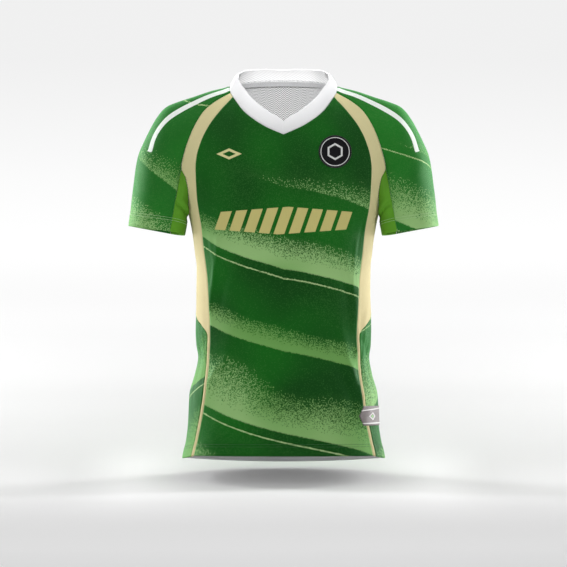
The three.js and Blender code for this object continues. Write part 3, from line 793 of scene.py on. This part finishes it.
def finishCloth(tree, shader, color, raised, height, depth, strength=0.5):
    # A cloth's colour and bump, and a roughness that falls where the cloth is raised.
    base = shader.inputs["Roughness"].default_value
    rough = timesPlus(raised, -knit["polish"], base + knit["polish"] / 2, clamp=True)
    bump = addNode(tree, "Bump", {"Height": height, "Distance": depth, "Strength": strength})
    for key, value in (("Base Color", color), ("Roughness", rough), ("Normal", bump.outputs[0])):
        tree.links.new(value, shader.inputs[key])


def finishKnit(tree, shader, color, place, dark, depth=knit["depth"]):
    # Every knitted cloth: its stitches as bump, and a little painted shade between them.
    stitches = useGroup(tree, knitGroup, Place=place, Pitch=knit["pitch"])
    shadow = times(minus(1.0, stitches["Shade"]), dark)
    color = mixColor(tree, shadow, color, (0.0, 0.0, 0.0, 1.0))
    finishCloth(tree, shader, color, stitches["Shade"], stitches["Height"], depth)


def objectAxes(tree):
    place = addNode(tree, "TexCoord").outputs["Object"]
    return addNode(tree, "SeparateXYZ", {0: place}).outputs


def lozenge(axes, x, z, halfWidth, halfHeight):
    # 1 inside a lozenge on the front, 0 outside.
    return below(plus(over(apart(axes[0], x), halfWidth), over(apart(axes[2], z), halfHeight)), 1.0)


chestPrint = {
    "z": -0.255,
    "halfWidth": 0.128,
    "halfHeight": 0.026,
    "blocks": 9,
    "lean": 0.35,
    "taper": 0.75,
}
smallPrint = {"x": -0.1026, "z": -0.129, "halfWidth": 0.024, "halfHeight": 0.0105}


def printedCloth(name, shift, lean, bands, ground=0.0, calm=0.4, designs=False, stripe=False):
    material, tree, shader = newMaterial(name, sheen=0.45, tint=(0.3, 0.9, 0.36, 1.0))
    place = uvPlace(tree)
    settings = {"Shift": shift, "Lean": lean, "Bands": bands, "Ground": ground, "Calm": calm}
    printed = useGroup(tree, printGroup, Place=place, **settings)
    color = printed["Color"]
    if designs:
        axes = objectAxes(tree)
        design = chestPrint
        dz = minus(axes[2], design["z"])
        slant = minus(axes[0], times(dz, design["lean"]))
        run = plus(over(slant, 2 * design["halfWidth"]), 0.5)
        cell = fraction(times(run, float(design["blocks"])))
        inCell = within(cell, 0.5, 0.36)
        inRun = within(run, 0.5, 0.5)
        lens = apart(run, 0.5)
        lens = minus(1.0, times(lens, design["taper"]))
        tall = times(lens, design["halfHeight"])
        inBand = below(absolute(dz), tall)
        mark = times(times(inCell, inRun), inBand)
        color = mixColor(tree, mark, color, rgb(196, 186, 118))
        whole = lozenge(axes, *(smallPrint[k] for k in ("x", "z", "halfWidth", "halfHeight")))
        hole = lozenge(axes, smallPrint["x"], smallPrint["z"], 0.0125, 0.0054)
        ringMark = minus(whole, hole)
        front = below(axes[1], 0.0)
        color = mixColor(tree, times(ringMark, front), color, rgb(214, 208, 150))
    if stripe:
        away = addNode(tree, "Attribute", attribute_name="stripeDistance").outputs["Fac"]
        mark = below(away, 5.6)
        color = mixColor(tree, mark, color, rgb(236, 240, 236))
    finishKnit(tree, shader, color, place, 0.16)
    return material


def plainCloth(name, color, other, low, high):
    # A plain knit whose colour runs from one tone at a low height to another at a high one: painted light
    # and shade by height.
    material, tree, shader = newMaterial(name, 0.65)
    tone = mixColor(tree, rampValue(tree, objectAxes(tree)[2], low, high), color, other)
    noise = addNode(tree, "TexNoise", {"Vector": uvPlace(tree), "Scale": 60.0, "Detail": 3.0}).outputs[0]
    tone = mixColor(tree, times(noise, 0.06), tone, rgb(120, 116, 100))
    finishKnit(tree, shader, tone, uvPlace(tree), 0.1)
    return material


def insideCloth():
    # The unprinted inside: pale mesh with a fine herringbone of holes, darkened as painted shade.
    material, tree, shader = newMaterial("insideKnit", 0.85)
    place = uvPlace(tree)
    axes = addNode(tree, "SeparateXYZ", {0: place}).outputs
    fold = pingPong(axes[0], 0.0072)
    lean = plus(axes[1], fold)
    wave = sine(times(lean, 2 * math.pi / 0.0046))
    holes = rampValue(tree, wave, 0.0, 0.8)
    # Painted shade: the holes are a darker grey than the mesh.
    tone = mixColor(tree, holes, rgb(254, 254, 254), rgb(156, 157, 159))
    finishKnit(tree, shader, tone, place, 0.12, 0.0002)
    return material


def collarCloth(name, tone, pitch, dark):
    # Fine ribbed knit: ribs square to the seam, with the stitches along them, and painted shade in the
    # grooves between the ribs.
    material, tree, shader = newMaterial(name, 0.75)
    place = uvPlace(tree)
    axes = addNode(tree, "SeparateXYZ", {0: place}).outputs
    rib = absolute(sine(times(axes[0], math.pi / pitch)))
    stitches = useGroup(tree, knitGroup, Place=place, Pitch=0.95)
    height = timesPlus(stitches["Height"], 0.3, rib)
    # Painted shade: the grooves between the ribs are darker.
    shade = times(minus(1.0, rib), dark)
    tone = mixColor(tree, shade, tone, rgb(150, 150, 155))
    finishCloth(tree, shader, tone, rib, height, 0.00025, 0.6)
    return material


def wovenTrim(name, base, other, pitch, roughness=0.6):
    # Woven trim: a twill of fine slanting ribs, with painted shade in a darker tone in its grooves.
    material, tree, shader = newMaterial(name, roughness)
    axes = uvAxes(tree)
    lean = plus(axes[0], axes[1])
    wave = sine(times(lean, 2 * math.pi / pitch))
    cross = sine(times(axes[1], 2 * math.pi / (pitch * 0.5)))
    height = plus(times(wave, 0.5), times(cross, 0.2))
    ridge = rampValue(tree, height, -0.5, 0.6)
    finishCloth(tree, shader, mixColor(tree, ridge, other, base), ridge, height, 0.0002)
    return material


def labelSatin():
    # Label: dark satin with a pale line near both long edges and a plain lozenge between.
    material, tree, shader = newMaterial("labelSatin", 0.4, specular=0.4)
    axes = uvAxes(tree)
    up = apart(axes[1], 0.0185)
    line = within(up, 0.0138, 0.0011)
    along = over(absolute(plus(axes[0], 0.006)), 0.011)
    shape = plus(along, over(up, 0.008))
    rim = within(shape, 0.85, 0.15)
    core = below(shape, 0.42)
    # Painted shade: the ground is darker in the grooves of the weave.
    weave = sine(times(axes[1], 2 * math.pi / 0.0008))
    raised = rampValue(tree, weave, -1.0, 1.0)
    ground = mixColor(tree, raised, rgb(88, 80, 80), rgb(124, 115, 114))
    tone = mixColor(tree, larger(line, rim), ground, rgb(212, 210, 208))
    tone = mixColor(tree, core, tone, rgb(104, 168, 78))
    finishCloth(tree, shader, tone, raised, weave, 0.0001, 0.4)
    return material


def patchCloth():
    # Round patch: black twill, with a pale ring and a plain pale six-sided outline.
    material, tree, shader = newMaterial("patchTwill", 0.55)
    axes = uvAxes(tree)
    x, y = over(axes[0], 0.031), over(axes[1], 0.031)
    far = squareRoot(plus(toPower(x, 2.0), toPower(y, 2.0)))
    ringMark = within(far, 0.86, 0.025)
    hexagon = 0.0
    for turn in (0.0, math.pi / 3, -math.pi / 3):
        away = timesPlus(y, math.sin(turn), times(x, math.cos(turn)))
        hexagon = larger(hexagon, absolute(away))
    outline = within(hexagon, 0.4, 0.055)
    mark = larger(ringMark, outline)
    # Painted shade: the black ground is darker in the grooves of the twill.
    lean = plus(axes[0], axes[1])
    twill = sine(times(lean, 2 * math.pi / 0.0011))
    raised = rampValue(tree, twill, -1.0, 1.0)
    ground = mixColor(tree, raised, rgb(10, 10, 12), rgb(30, 30, 33))
    tone = mixColor(tree, mark, ground, rgb(206, 208, 206))
    finishCloth(tree, shader, tone, raised, twill, 0.00015)
    return material


def threadMaterial(name, color):
    # Sewing thread: two plies that twist along each stitch, with painted shade in the grooves between
    # them.
    material, tree, shader = newMaterial(name, 0.55, 0.3)
    axes = uvAxes(tree)
    lean = plus(axes[0], times(axes[1], 0.6))
    ply = sine(times(lean, 2 * math.pi / 0.0006))
    dark = tuple(v * 0.6 for v in color[:3]) + (1.0,)
    raised = rampValue(tree, ply, -1.0, 0.4)
    finishCloth(tree, shader, mixColor(tree, raised, dark, color), raised, ply, 0.0001)
    return material


def lineAt(grid, distance, lift):
    # The line on a grid at a distance above its lower edge, with the grid's normals there.
    up = runLength(grid, 0)
    i = np.clip((up <= distance).sum(axis=0) - 1, 0, len(grid) - 2)
    j = np.arange(grid.shape[1])
    t = ((distance - up[i, j]) / np.maximum(up[i + 1, j] - up[i, j], 1e-9))[:, None]
    normals = gridNormals(grid)
    normal = unit(mix(normals[i, j], normals[i + 1, j], t))
    return mix(grid[i, j], grid[i + 1, j], t) + normal * lift, normal


stitch = {"pitch": 2.6, "length": 2.15, "radius": 0.36, "sides": 6}


def stitchPiece(name, lines, material):
    # Stitches along lines: one small spindle at each pitch, all placed at once as arrays.
    rings = np.array([[-0.5, 0.35], [-0.36, 0.9], [0, 1.1], [0.36, 0.9], [0.5, 0.35]])
    angle = np.arange(stitch["sides"]) * 2 * math.pi / stitch["sides"]
    bulge = stack(np.cos(angle)[None] * rings[:, 1:], np.sin(angle)[None] * rings[:, 1:])
    starts, points, faces = 0, [], []
    sides, count = stitch["sides"], len(rings)
    ids = np.arange(count * sides).reshape(count, sides)
    turned = np.roll(ids, -1, axis=1)
    quads = np.stack([ids[:-1], ids[1:], turned[1:], turned[:-1]], axis=-1).reshape(-1, 4)
    caps = [ids[0].tolist(), ids[-1][::-1].tolist()]
    capFaces = []
    for line, normal in lines:
        run = np.concatenate([[0], np.cumsum(np.linalg.norm(np.diff(line, axis=0), axis=1))])
        total = int(run[-1] / stitch["pitch"])
        at = (np.arange(total) + 0.5) * run[-1] / total
        centre = np.stack([np.interp(at, run, line[:, k]) for k in range(3)], axis=1)
        out = unit(np.stack([np.interp(at, run, normal[:, k]) for k in range(3)], axis=1))
        ahead = np.stack([np.interp(at + 0.5, run, line[:, k]) for k in range(3)], axis=1) - centre
        along = unit(ahead - out * (ahead * out).sum(axis=1, keepdims=True))
        across = np.cross(along, out)
        local = stitch["radius"] * bulge[None]
        centre, along, across, out = (v[:, None, None] for v in (centre, along, across, out))
        body = centre + along * (rings[:, 0] * stitch["length"])[None, :, None, None]
        body = body + across * local[..., :1] + out * local[..., 1:] * 0.8
        points.append(body.reshape(-1, 3))
        offsets = starts + np.arange(total)[:, None, None] * count * sides
        faces.append((quads[None] + offsets).reshape(-1, 4))
        capFaces += [[v + int(o) for v in cap] for o in offsets.ravel() for cap in caps]
        starts += total * count * sides
    points = np.concatenate(points) * mm
    mesh = makeMesh(name, points, np.concatenate(faces).tolist() + capFaces, points[:, [0, 2]])
    print("made", name, len(mesh.polygons), "faces")
    return addObject(name, mesh, [material])


def sew(node, grid, distances, material, lift=0.5):
    lines = [lineAt(grid, distance, lift) for distance in distances]
    thread = stitchPiece("stitches_" + node, lines, material)
    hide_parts(node)


def surfaceFrame(turn, z):
    # A place on the trunk's outside with its normal.
    here = trunkPoint(turn, z)
    step = 0.4
    across = trunkPoint(turn + step / jersey["quarterGirth"], z) - here
    up = trunkPoint(turn, z + step) - here
    return here, unit(np.cross(across, up))


patchSizes = {
    "x": 97.0,
    "z": -125.0,
    "radius": 31.0,
    "lift": 0.45,
    "wall": 1.0,
    "spokes": 560,
    "wraps": 140,
}


def makePatch(material, edgeMaterial):
    # A profile from the middle over the rim and back underneath, carried round a circle.
    # The rim is a bead wrapped in thread, whose height ripples round the patch.
    size = patchSizes
    inner = np.linspace(0, 0.93, 14)
    bead = np.linspace(math.pi, 0, 9)[1:]
    radius = np.concatenate([inner, 0.965 + 0.035 * np.cos(bead), [0.99, 0.6, 0]])
    height = np.concatenate([0 * inner + size["wall"], size["wall"] + 0.75 * np.sin(bead), [0.1, 0, 0]])
    isBead = np.concatenate([0 * inner, np.sin(bead), [0, 0, 0]])
    angle = np.linspace(0, 2 * math.pi, size["spokes"] + 1)[None, :-1]
    wrap = 0.22 * isBead[:, None] * np.sin(size["wraps"] * angle)
    u, v = radius[:, None] * np.cos(angle), radius[:, None] * np.sin(angle)
    x, z = size["x"] + size["radius"] * u, size["z"] + size["radius"] * v
    here, normal = surfaceFrame(turnAt(x, z), z)
    points = here + normal * (size["lift"] + height[:, None] + wrap)[..., None]
    rows, count = points.shape[:2]
    ids = np.arange(rows * count).reshape(rows, count)
    turned = np.roll(ids, -1, axis=1)
    faces = np.stack([ids[:-1], ids[1:], turned[1:], turned[:-1]], axis=-1).reshape(-1, 4)
    uv = stack(u, v).reshape(-1, 2) * mm * size["radius"]
    kind = np.repeat((radius[:-1] > inner[-1]).astype(np.int32), count)
    mesh = makeMesh("chestPatch", points.reshape(-1, 3) * mm, faces.tolist(), uv, kind)
    shape = bmesh.new()
    shape.from_mesh(mesh)
    bmesh.ops.remove_doubles(shape, verts=shape.verts, dist=1e-6)
    bmesh.ops.recalc_face_normals(shape, faces=shape.faces)
    shape.to_mesh(mesh)
    shape.free()
    print("made chestPatch", len(mesh.polygons), "faces")
    return addObject("chestPatch", mesh, [material, edgeMaterial])


labelSizes = {"turnLow": 0.55, "turnHigh": 0.98, "zLow": -642.0, "zHigh": -605.0, "point": 0.05}


def labelGrid():
    s, t = crowded(48, 0.5)[None], crowded(30, 0.5)[:, None]
    low = labelSizes["turnLow"] + labelSizes["point"] * np.abs(2 * t - 1)
    turn, z = mix(low, labelSizes["turnHigh"], s), mix(labelSizes["zLow"], labelSizes["zHigh"], t) + 0 * s
    here, normal = surfaceFrame(turn, z)
    edge = np.minimum(np.minimum(s, 1 - s) * 48, np.minimum(t, 1 - t) * 37)
    soft = 1.1 - 0.4 * np.exp(-((edge / 0.8) ** 2)) + 0.12 * np.sin(t * 9 + s * 4)
    return here + normal * (0.45 + soft)[..., None]


stage = {
    "floor": -0.762,
    "slopeStart": -0.3,
    "slope": 0.105,
    "slopeEnd": 0.22,
    "wallStart": 2.6,
    "world": 0.04,
    "seenWorld": 0.8,
    "paint": 0.585,
    "wallPaint": 0.02,
    # The shadow keys place the painted light beside the shadow under the garment.
    "shadowStart": 0.08,
    "shadowSpan": 0.22,
    "shadowEnd": 0.27,
    "shadowHeight": -0.741,
    "shadowReach": 0.045,
    "shadowSideGlow": 0.2,
}
# Painted light: glow that the sweep itself gives, by the height at which it is seen from the front.
sweepGlow = columns(["height", "glow"], [
    [-1.0, 0.41], [-0.889, 0.375], [-0.823, 0.18], [-0.766, 0.05], [-0.709, 0.015], [-0.652, 0.02],
    [-0.595, 0.12], [-0.538, 0.38], [-0.481, 0.64], [-0.424, 0.86], [-0.36, 0.96], [-0.3, 0.99],
    [-0.2, 0.965], [-0.1, 0.92], [0.0, 0.88], [0.06, 0.862], [0.3, 0.86],
])


def makeStage():
    # A seamless sweep: a floor that slopes up behind the garment and turns up to a wall.
    size = stage
    near, middle, far = np.linspace(-9, -0.4, 40), np.linspace(-0.38, 0.6, 50), np.linspace(0.65, 4.4, 90)
    y = np.concatenate([near, middle, far])
    ahead = np.maximum(0, y - size["slopeStart"])
    bend = size["slopeEnd"] - size["slopeStart"]
    rise = np.minimum(ahead, bend) ** 2 / bend + 2 * np.maximum(0, ahead - bend)
    z = size["floor"] + size["slope"] * rise + 1.1 * np.maximum(0, y - size["wallStart"]) ** 2
    x = np.concatenate([np.linspace(-7, -0.8, 8), np.linspace(-0.75, 0.75, 61), np.linspace(0.8, 7, 8)])
    points = stack(x[None], y[:, None], z[:, None])
    ids = np.arange(points.shape[0] * points.shape[1]).reshape(points.shape[:2])
    faces = np.stack([ids[:-1, :-1], ids[:-1, 1:], ids[1:, 1:], ids[1:, :-1]], axis=-1).reshape(-1, 4)
    distance = camera["distance"]
    seen = camera["z"] + (points[..., 2] - camera["z"]) * distance / (distance + points[..., 1])
    # Painted light: glow added on both sides of the shadow under the garment makes that shadow narrower
    # than the lights alone make it.
    beside = smoothStep((np.abs(points[..., 0]) - size["shadowStart"]) / size["shadowSpan"])
    beside = beside * (1 - smoothStep((np.abs(points[..., 0]) - size["shadowEnd"]) / 0.14))
    around = np.exp(-(((seen - size["shadowHeight"]) / size["shadowReach"]) ** 2))
    glow = lookUp(sweepGlow, "height", "glow", seen) + size["shadowSideGlow"] * beside * around
    # The sweep's paint falls from pale on the floor to nearly black on the wall, where the painted glow
    # alone sets its brightness.
    paint = mix(size["paint"], size["wallPaint"], smoothStep((seen + 0.66) / 0.3))
    values = {"glow": glow, "paint": paint}
    mesh = makeMesh("sweep", points.reshape(-1, 3), faces.tolist(), values=values)
    floor = bpy.data.objects.new("sweep", mesh)
    bpy.context.scene.collection.objects.link(floor)
    material = bpy.data.materials.new("sweepPaint")
    material.use_nodes = True
    tree = material.node_tree
    shader = tree.nodes["Principled BSDF"]
    shader.inputs["Roughness"].default_value = 0.9
    shader.inputs["Specular IOR Level"].default_value = 0.0
    shader.inputs["Emission Color"].default_value = (1.0, 1.0, 1.0, 1.0)
    paintValue = addNode(tree, "Attribute", attribute_name="paint").outputs["Color"]
    tree.links.new(paintValue, shader.inputs["Base Color"])
    glowValue = addNode(tree, "Attribute", attribute_name="glow").outputs["Fac"]
    tree.links.new(glowValue, shader.inputs["Emission Strength"])
    # Seen from behind, the sweep is clear, so that the back of the garment shows.
    behind = addNode(tree, "NewGeometry").outputs["Backfacing"]
    clear = addNode(tree, "BsdfTransparent").outputs[0]
    both = addNode(tree, "MixShader", {0: behind, 1: shader.outputs[0], 2: clear}).outputs[0]
    tree.links.new(both, tree.nodes["Material Output"].inputs["Surface"])
    mesh.materials.append(material)


lights = {
    # name: place, target, width, height, power
    "fill": ((0.0, -6.5, 0.7), (0, 0, -0.3), 1.6, 1.6, 48.0),
    "key": ((0.0, -3.0, 2.3), (0, 0, -0.3), 2.0, 1.2, 17.0),
    "leftFront": ((2.3, -1.5, 0.35), (0, 0, -0.35), 0.8, 1.9, 19.0),
    "rightFront": ((-2.3, -1.5, 0.35), (0, 0, -0.35), 0.8, 1.9, 19.0),
    "leftRim": ((2.0, 1.1, -0.1), (0, 0, -0.35), 0.7, 2.2, 92.0),
    "rightRim": ((-2.0, 1.1, -0.1), (0, 0, -0.35), 0.7, 2.2, 92.0),
    "top": ((0.0, 0.1, 2.3), (0, 0, -0.4), 1.3, 1.0, 40.0),
}


# A narrow beam that reaches the inside of the back through the neck.
neckBeam = {
    "place": (0.0, -2.4, 1.05),
    "target": (0, 0.07, 0.0),
    "angle": 5.6,
    "blend": 0.7,
    "power": 215.0,
}


def aimLamp(name, data, place, target):
    lamp = bpy.data.objects.new(name, data)
    bpy.context.scene.collection.objects.link(lamp)
    aim = np.array(target) - np.array(place)
    lamp.location = place
    lamp.rotation_euler = (math.acos(-aim[2] / np.linalg.norm(aim)), 0, math.atan2(-aim[0], aim[1]))


def addLights():
    for name, (place, target, width, height, power) in lights.items():
        data = bpy.data.lights.new(name, "AREA")
        data.shape = "RECTANGLE"
        data.size = width
        data.size_y = height
        data.energy = power
        aimLamp(name, data, place, target)
    beam = bpy.data.lights.new("neckBeam", "SPOT")
    beam.energy = neckBeam["power"]
    beam.spot_size = math.radians(neckBeam["angle"])
    beam.spot_blend = neckBeam["blend"]
    beam.shadow_soft_size = 0.05
    aimLamp("neckBeam", beam, neckBeam["place"], neckBeam["target"])
    world = bpy.context.scene.world or bpy.data.worlds.new("studio")
    bpy.context.scene.world = world
    world.use_nodes = True
    tree = world.node_tree
    sky = tree.nodes["Background"]
    sky.inputs["Color"].default_value = (1, 1, 1, 1)
    seen = addNode(tree, "LightPath").outputs["Is Camera Ray"]
    strength = plus(stage["world"], times(seen, stage["seenWorld"]))
    tree.links.new(strength, sky.inputs["Strength"])


camera = {"distance": 12.0, "frameWidth": 567 * 0.0019, "z": -0.37335}


def addCamera():
    data = bpy.data.cameras.new("camera")
    data.sensor_width, data.clip_end = 36.0, 60.0
    data.lens = 36.0 * camera["distance"] / camera["frameWidth"]
    eye = bpy.data.objects.new("camera", data)
    bpy.context.scene.collection.objects.link(eye)
    eye.location = (0, -camera["distance"], camera["z"])
    eye.rotation_euler = (math.pi / 2, 0, 0)
    bpy.context.scene.camera = eye


addCamera()

# Grids of the panels, outside faces, in millimetres.
rows = trunkRows()
front = frontGrid(rows, 120)
back = backGrid(rows, 140)


def sideGrids(mirror):
    band = bandGrid(rows, 16, mirror)
    rear = back if mirror > 0 else mirrored(back)
    edges = sleeveEdges(band, rear)
    grids = [band, sleeveGrid(edges, 88, mirror), gussetGrid(edges, band, rear, mirror)]
    return grids if mirror > 0 else [mirrored(grid) for grid in grids]


stripeLine = columns(["x", "z"], [
    [100, -4], [112, -8.5], [137.6, -17], [168.5, -31], [199.3, -47.5], [220, -62], [236.4, -81],
    [246.8, -101], [253.3, -124],
])


def stripeDistance(grid):
    # Distance round the sleeve from the middle of the shoulder stripe, which lies where
    # the front of each ring crosses the stripe's line, and 99 where there is no stripe.
    across = runLength(grid, 1)
    middle = grid.shape[1] // 2 + 1
    above = grid[:, :middle, 2] - lookUp(stripeLine, "x", "z", grid[:, :middle, 0])
    crossed = above > 0
    j = np.clip(crossed.argmax(axis=1), 1, middle - 1)
    i = np.arange(len(grid))
    t = -above[i, j - 1] / np.where(above[i, j] == above[i, j - 1], 1, above[i, j] - above[i, j - 1])
    centre = mix(across[i, j - 1], across[i, j], np.clip(t, 0, 1))
    height = mix(grid[i, j - 1, 2], grid[i, j, 2], np.clip(t, 0, 1))
    drawn = crossed.any(axis=1) & (height > stripeLine["z"][-1])
    return np.where(drawn[:, None], np.abs(across - centre[:, None]), 99.0)


bandLeft, sleeveLeft, gussetLeft = sideGrids(1)
bandRight, sleeveRight, gussetRight = sideGrids(-1)
print("grids worked out")

inside = insideCloth()
# Painted light: the band is paler towards the shoulder, where the lamps light it less.
bandCloth = plainCloth("bandKnit", rgb(206, 193, 146), rgb(214, 205, 156), low=-0.42, high=-0.1)
# Painted shade: the gusset is darker towards the armpit.
gussetCloth = plainCloth("gussetKnit", rgb(92, 156, 40), rgb(88, 146, 38), low=-0.28, high=-0.15)
allSeams = ["left", "right", "top"]
frontCloth = printedCloth("frontPrint", 2.66, 0.42, 6.4, designs=True)
backCloth = printedCloth("backPrint", 5.7, -0.42, 6.0)
frontPiece = clothPanel("frontPanel", front, allSeams, [frontCloth, inside], hem=True)
backPiece = clothPanel("backPanel", back, allSeams, [backCloth, inside], hem=True)
sides = {
    "left": (bandLeft, sleeveLeft, gussetLeft, 8.1, stripeDistance(sleeveLeft)),
    "right": (bandRight, sleeveRight, gussetRight, 4.3, stripeDistance(mirrored(sleeveRight))[:, ::-1]),
}
declareCloth(frontPiece, front, "front")
declareCloth(backPiece, back, "back")
for side, (band, sleeve, gusset, shift, away) in sides.items():
    bandPiece = clothPanel("sideBand_" + side, band, allSeams, [bandCloth, inside], hem=True)
    name = "sleevePrint_" + side
    sleeveCloth = printedCloth(name, shift, 0.45, 6.2, ground=0.42, calm=0.03, stripe=True)
    sleevePiece = clothPanel(
        "sleeve_" + side + "_cloth", sleeve, allSeams, [sleeveCloth, inside], True,
        {"stripeDistance": away}, True,
    )
    gussetPiece = clothPanel("gusset_" + side, gusset, allSeams, [gussetCloth, inside], True, None, True)
    declareCloth(bandPiece, band, "side_band_" + side)
    declareCloth(sleevePiece, sleeve, "sleeve_" + side)
    declareCloth(gussetPiece, gusset, "underarm_" + side)

neckSeam = np.concatenate([
    grid[-1, 1:] for grid in (front, bandLeft, sleeveLeft, back, sleeveRight, bandRight)
])
neckSeam = np.concatenate([neckSeam[-1:], neckSeam])
collar = collarGrid(neckSeam, 16)
up = runLength(collar, 0)
collarRelief = seamProfile(up) - 0.5 * smoothStep((2 - (up[-1:] - up)) / 2)
mitre = np.exp(-((collar[..., 0] / 1.1) ** 2)) * (collar[..., 1] < 0)
collarRelief = collarRelief - 0.5 * mitre
collarOuter = collar + gridNormals(collar, True) * collarRelief[..., None]
# The inside copy is paler than the outside one: painted light where the back band faces the front, with
# deeper painted shade between its wider ribs.
collarCloths = [
    collarCloth("collarRib", rgb(226, 226, 227), 0.0019, 0.1),
    collarCloth("collarRibInside", rgb(248, 248, 248), 0.0076, 0.34),
]
collarPiece = wallPiece("collarBand", collarOuter, 2.0, clothUv(collar, 0), collarCloths, ring=True)
declareCloth(collarPiece, collar, "collar")
print("collar made")

# Neck tape: the back's inner face near the neck, moved in.
tapeShare = np.linspace(0.52, 0.0, 8)
tapeRows = len(back) - 1 - tapeShare * fine
lowRow = np.floor(tapeRows).astype(int)
blend = (tapeRows - lowRow)[:, None, None]
tapeColumns = slice(12, -12)
tapeBase = mix(back[lowRow], back[np.minimum(lowRow + 1, len(back) - 1)], blend)
tapeNormal = gridNormals(back)
tapeNormal = unit(mix(tapeNormal[lowRow], tapeNormal[np.minimum(lowRow + 1, len(back) - 1)], blend))
tape = (tapeBase - tapeNormal * (cloth["wall"] + 0.3))[:, tapeColumns]
tapeCloth = wovenTrim("tapeTwill", rgb(236, 236, 237), rgb(202, 202, 204), 0.0018)
tapePiece = wallPiece("neckTape", tape, 0.9, clothUv(tape), [tapeCloth])
declareCloth(tapePiece, tape, "neck_tape")
print("neck tape made")

patch = makePatch(patchCloth(), threadMaterial("patchEdge", rgb(34, 34, 37)))
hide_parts("chest_patch")
labelPoints = labelGrid()
labelCloth = labelSatin()
label = wallPiece("hemLabel", labelPoints, 0.7, clothUv(labelPoints), [labelCloth])
declareCloth(label, labelPoints, "hem_label")
print("patch and label made")

labelThread = threadMaterial("labelThread", rgb(150, 142, 140))
tapeThread = threadMaterial("tapeThread", rgb(222, 222, 223))
sew("hem_label", labelPoints, (1.7, 35.1), labelThread, 0.1)
sew("neck_tape", tape, (1.5,), tapeThread, -1.0)
cuffThread = threadMaterial("cuffThread", rgb(176, 214, 158))
hemThread = threadMaterial("hemThread", rgb(30, 96, 36))
sew("front", front, (18.0, 22.5), hemThread)
sew("back", back, (18.0, 22.5), hemThread)
for side, (band, sleeve, gusset, shift, away) in sides.items():
    sew("sleeve_" + side, sleeve, (22.0, 26.5), cuffThread)
    sew("underarm_" + side, gusset, (22.0, 26.5), cuffThread)

makeStage()
addLights()
bpy.context.scene.view_settings.view_transform = "Standard"
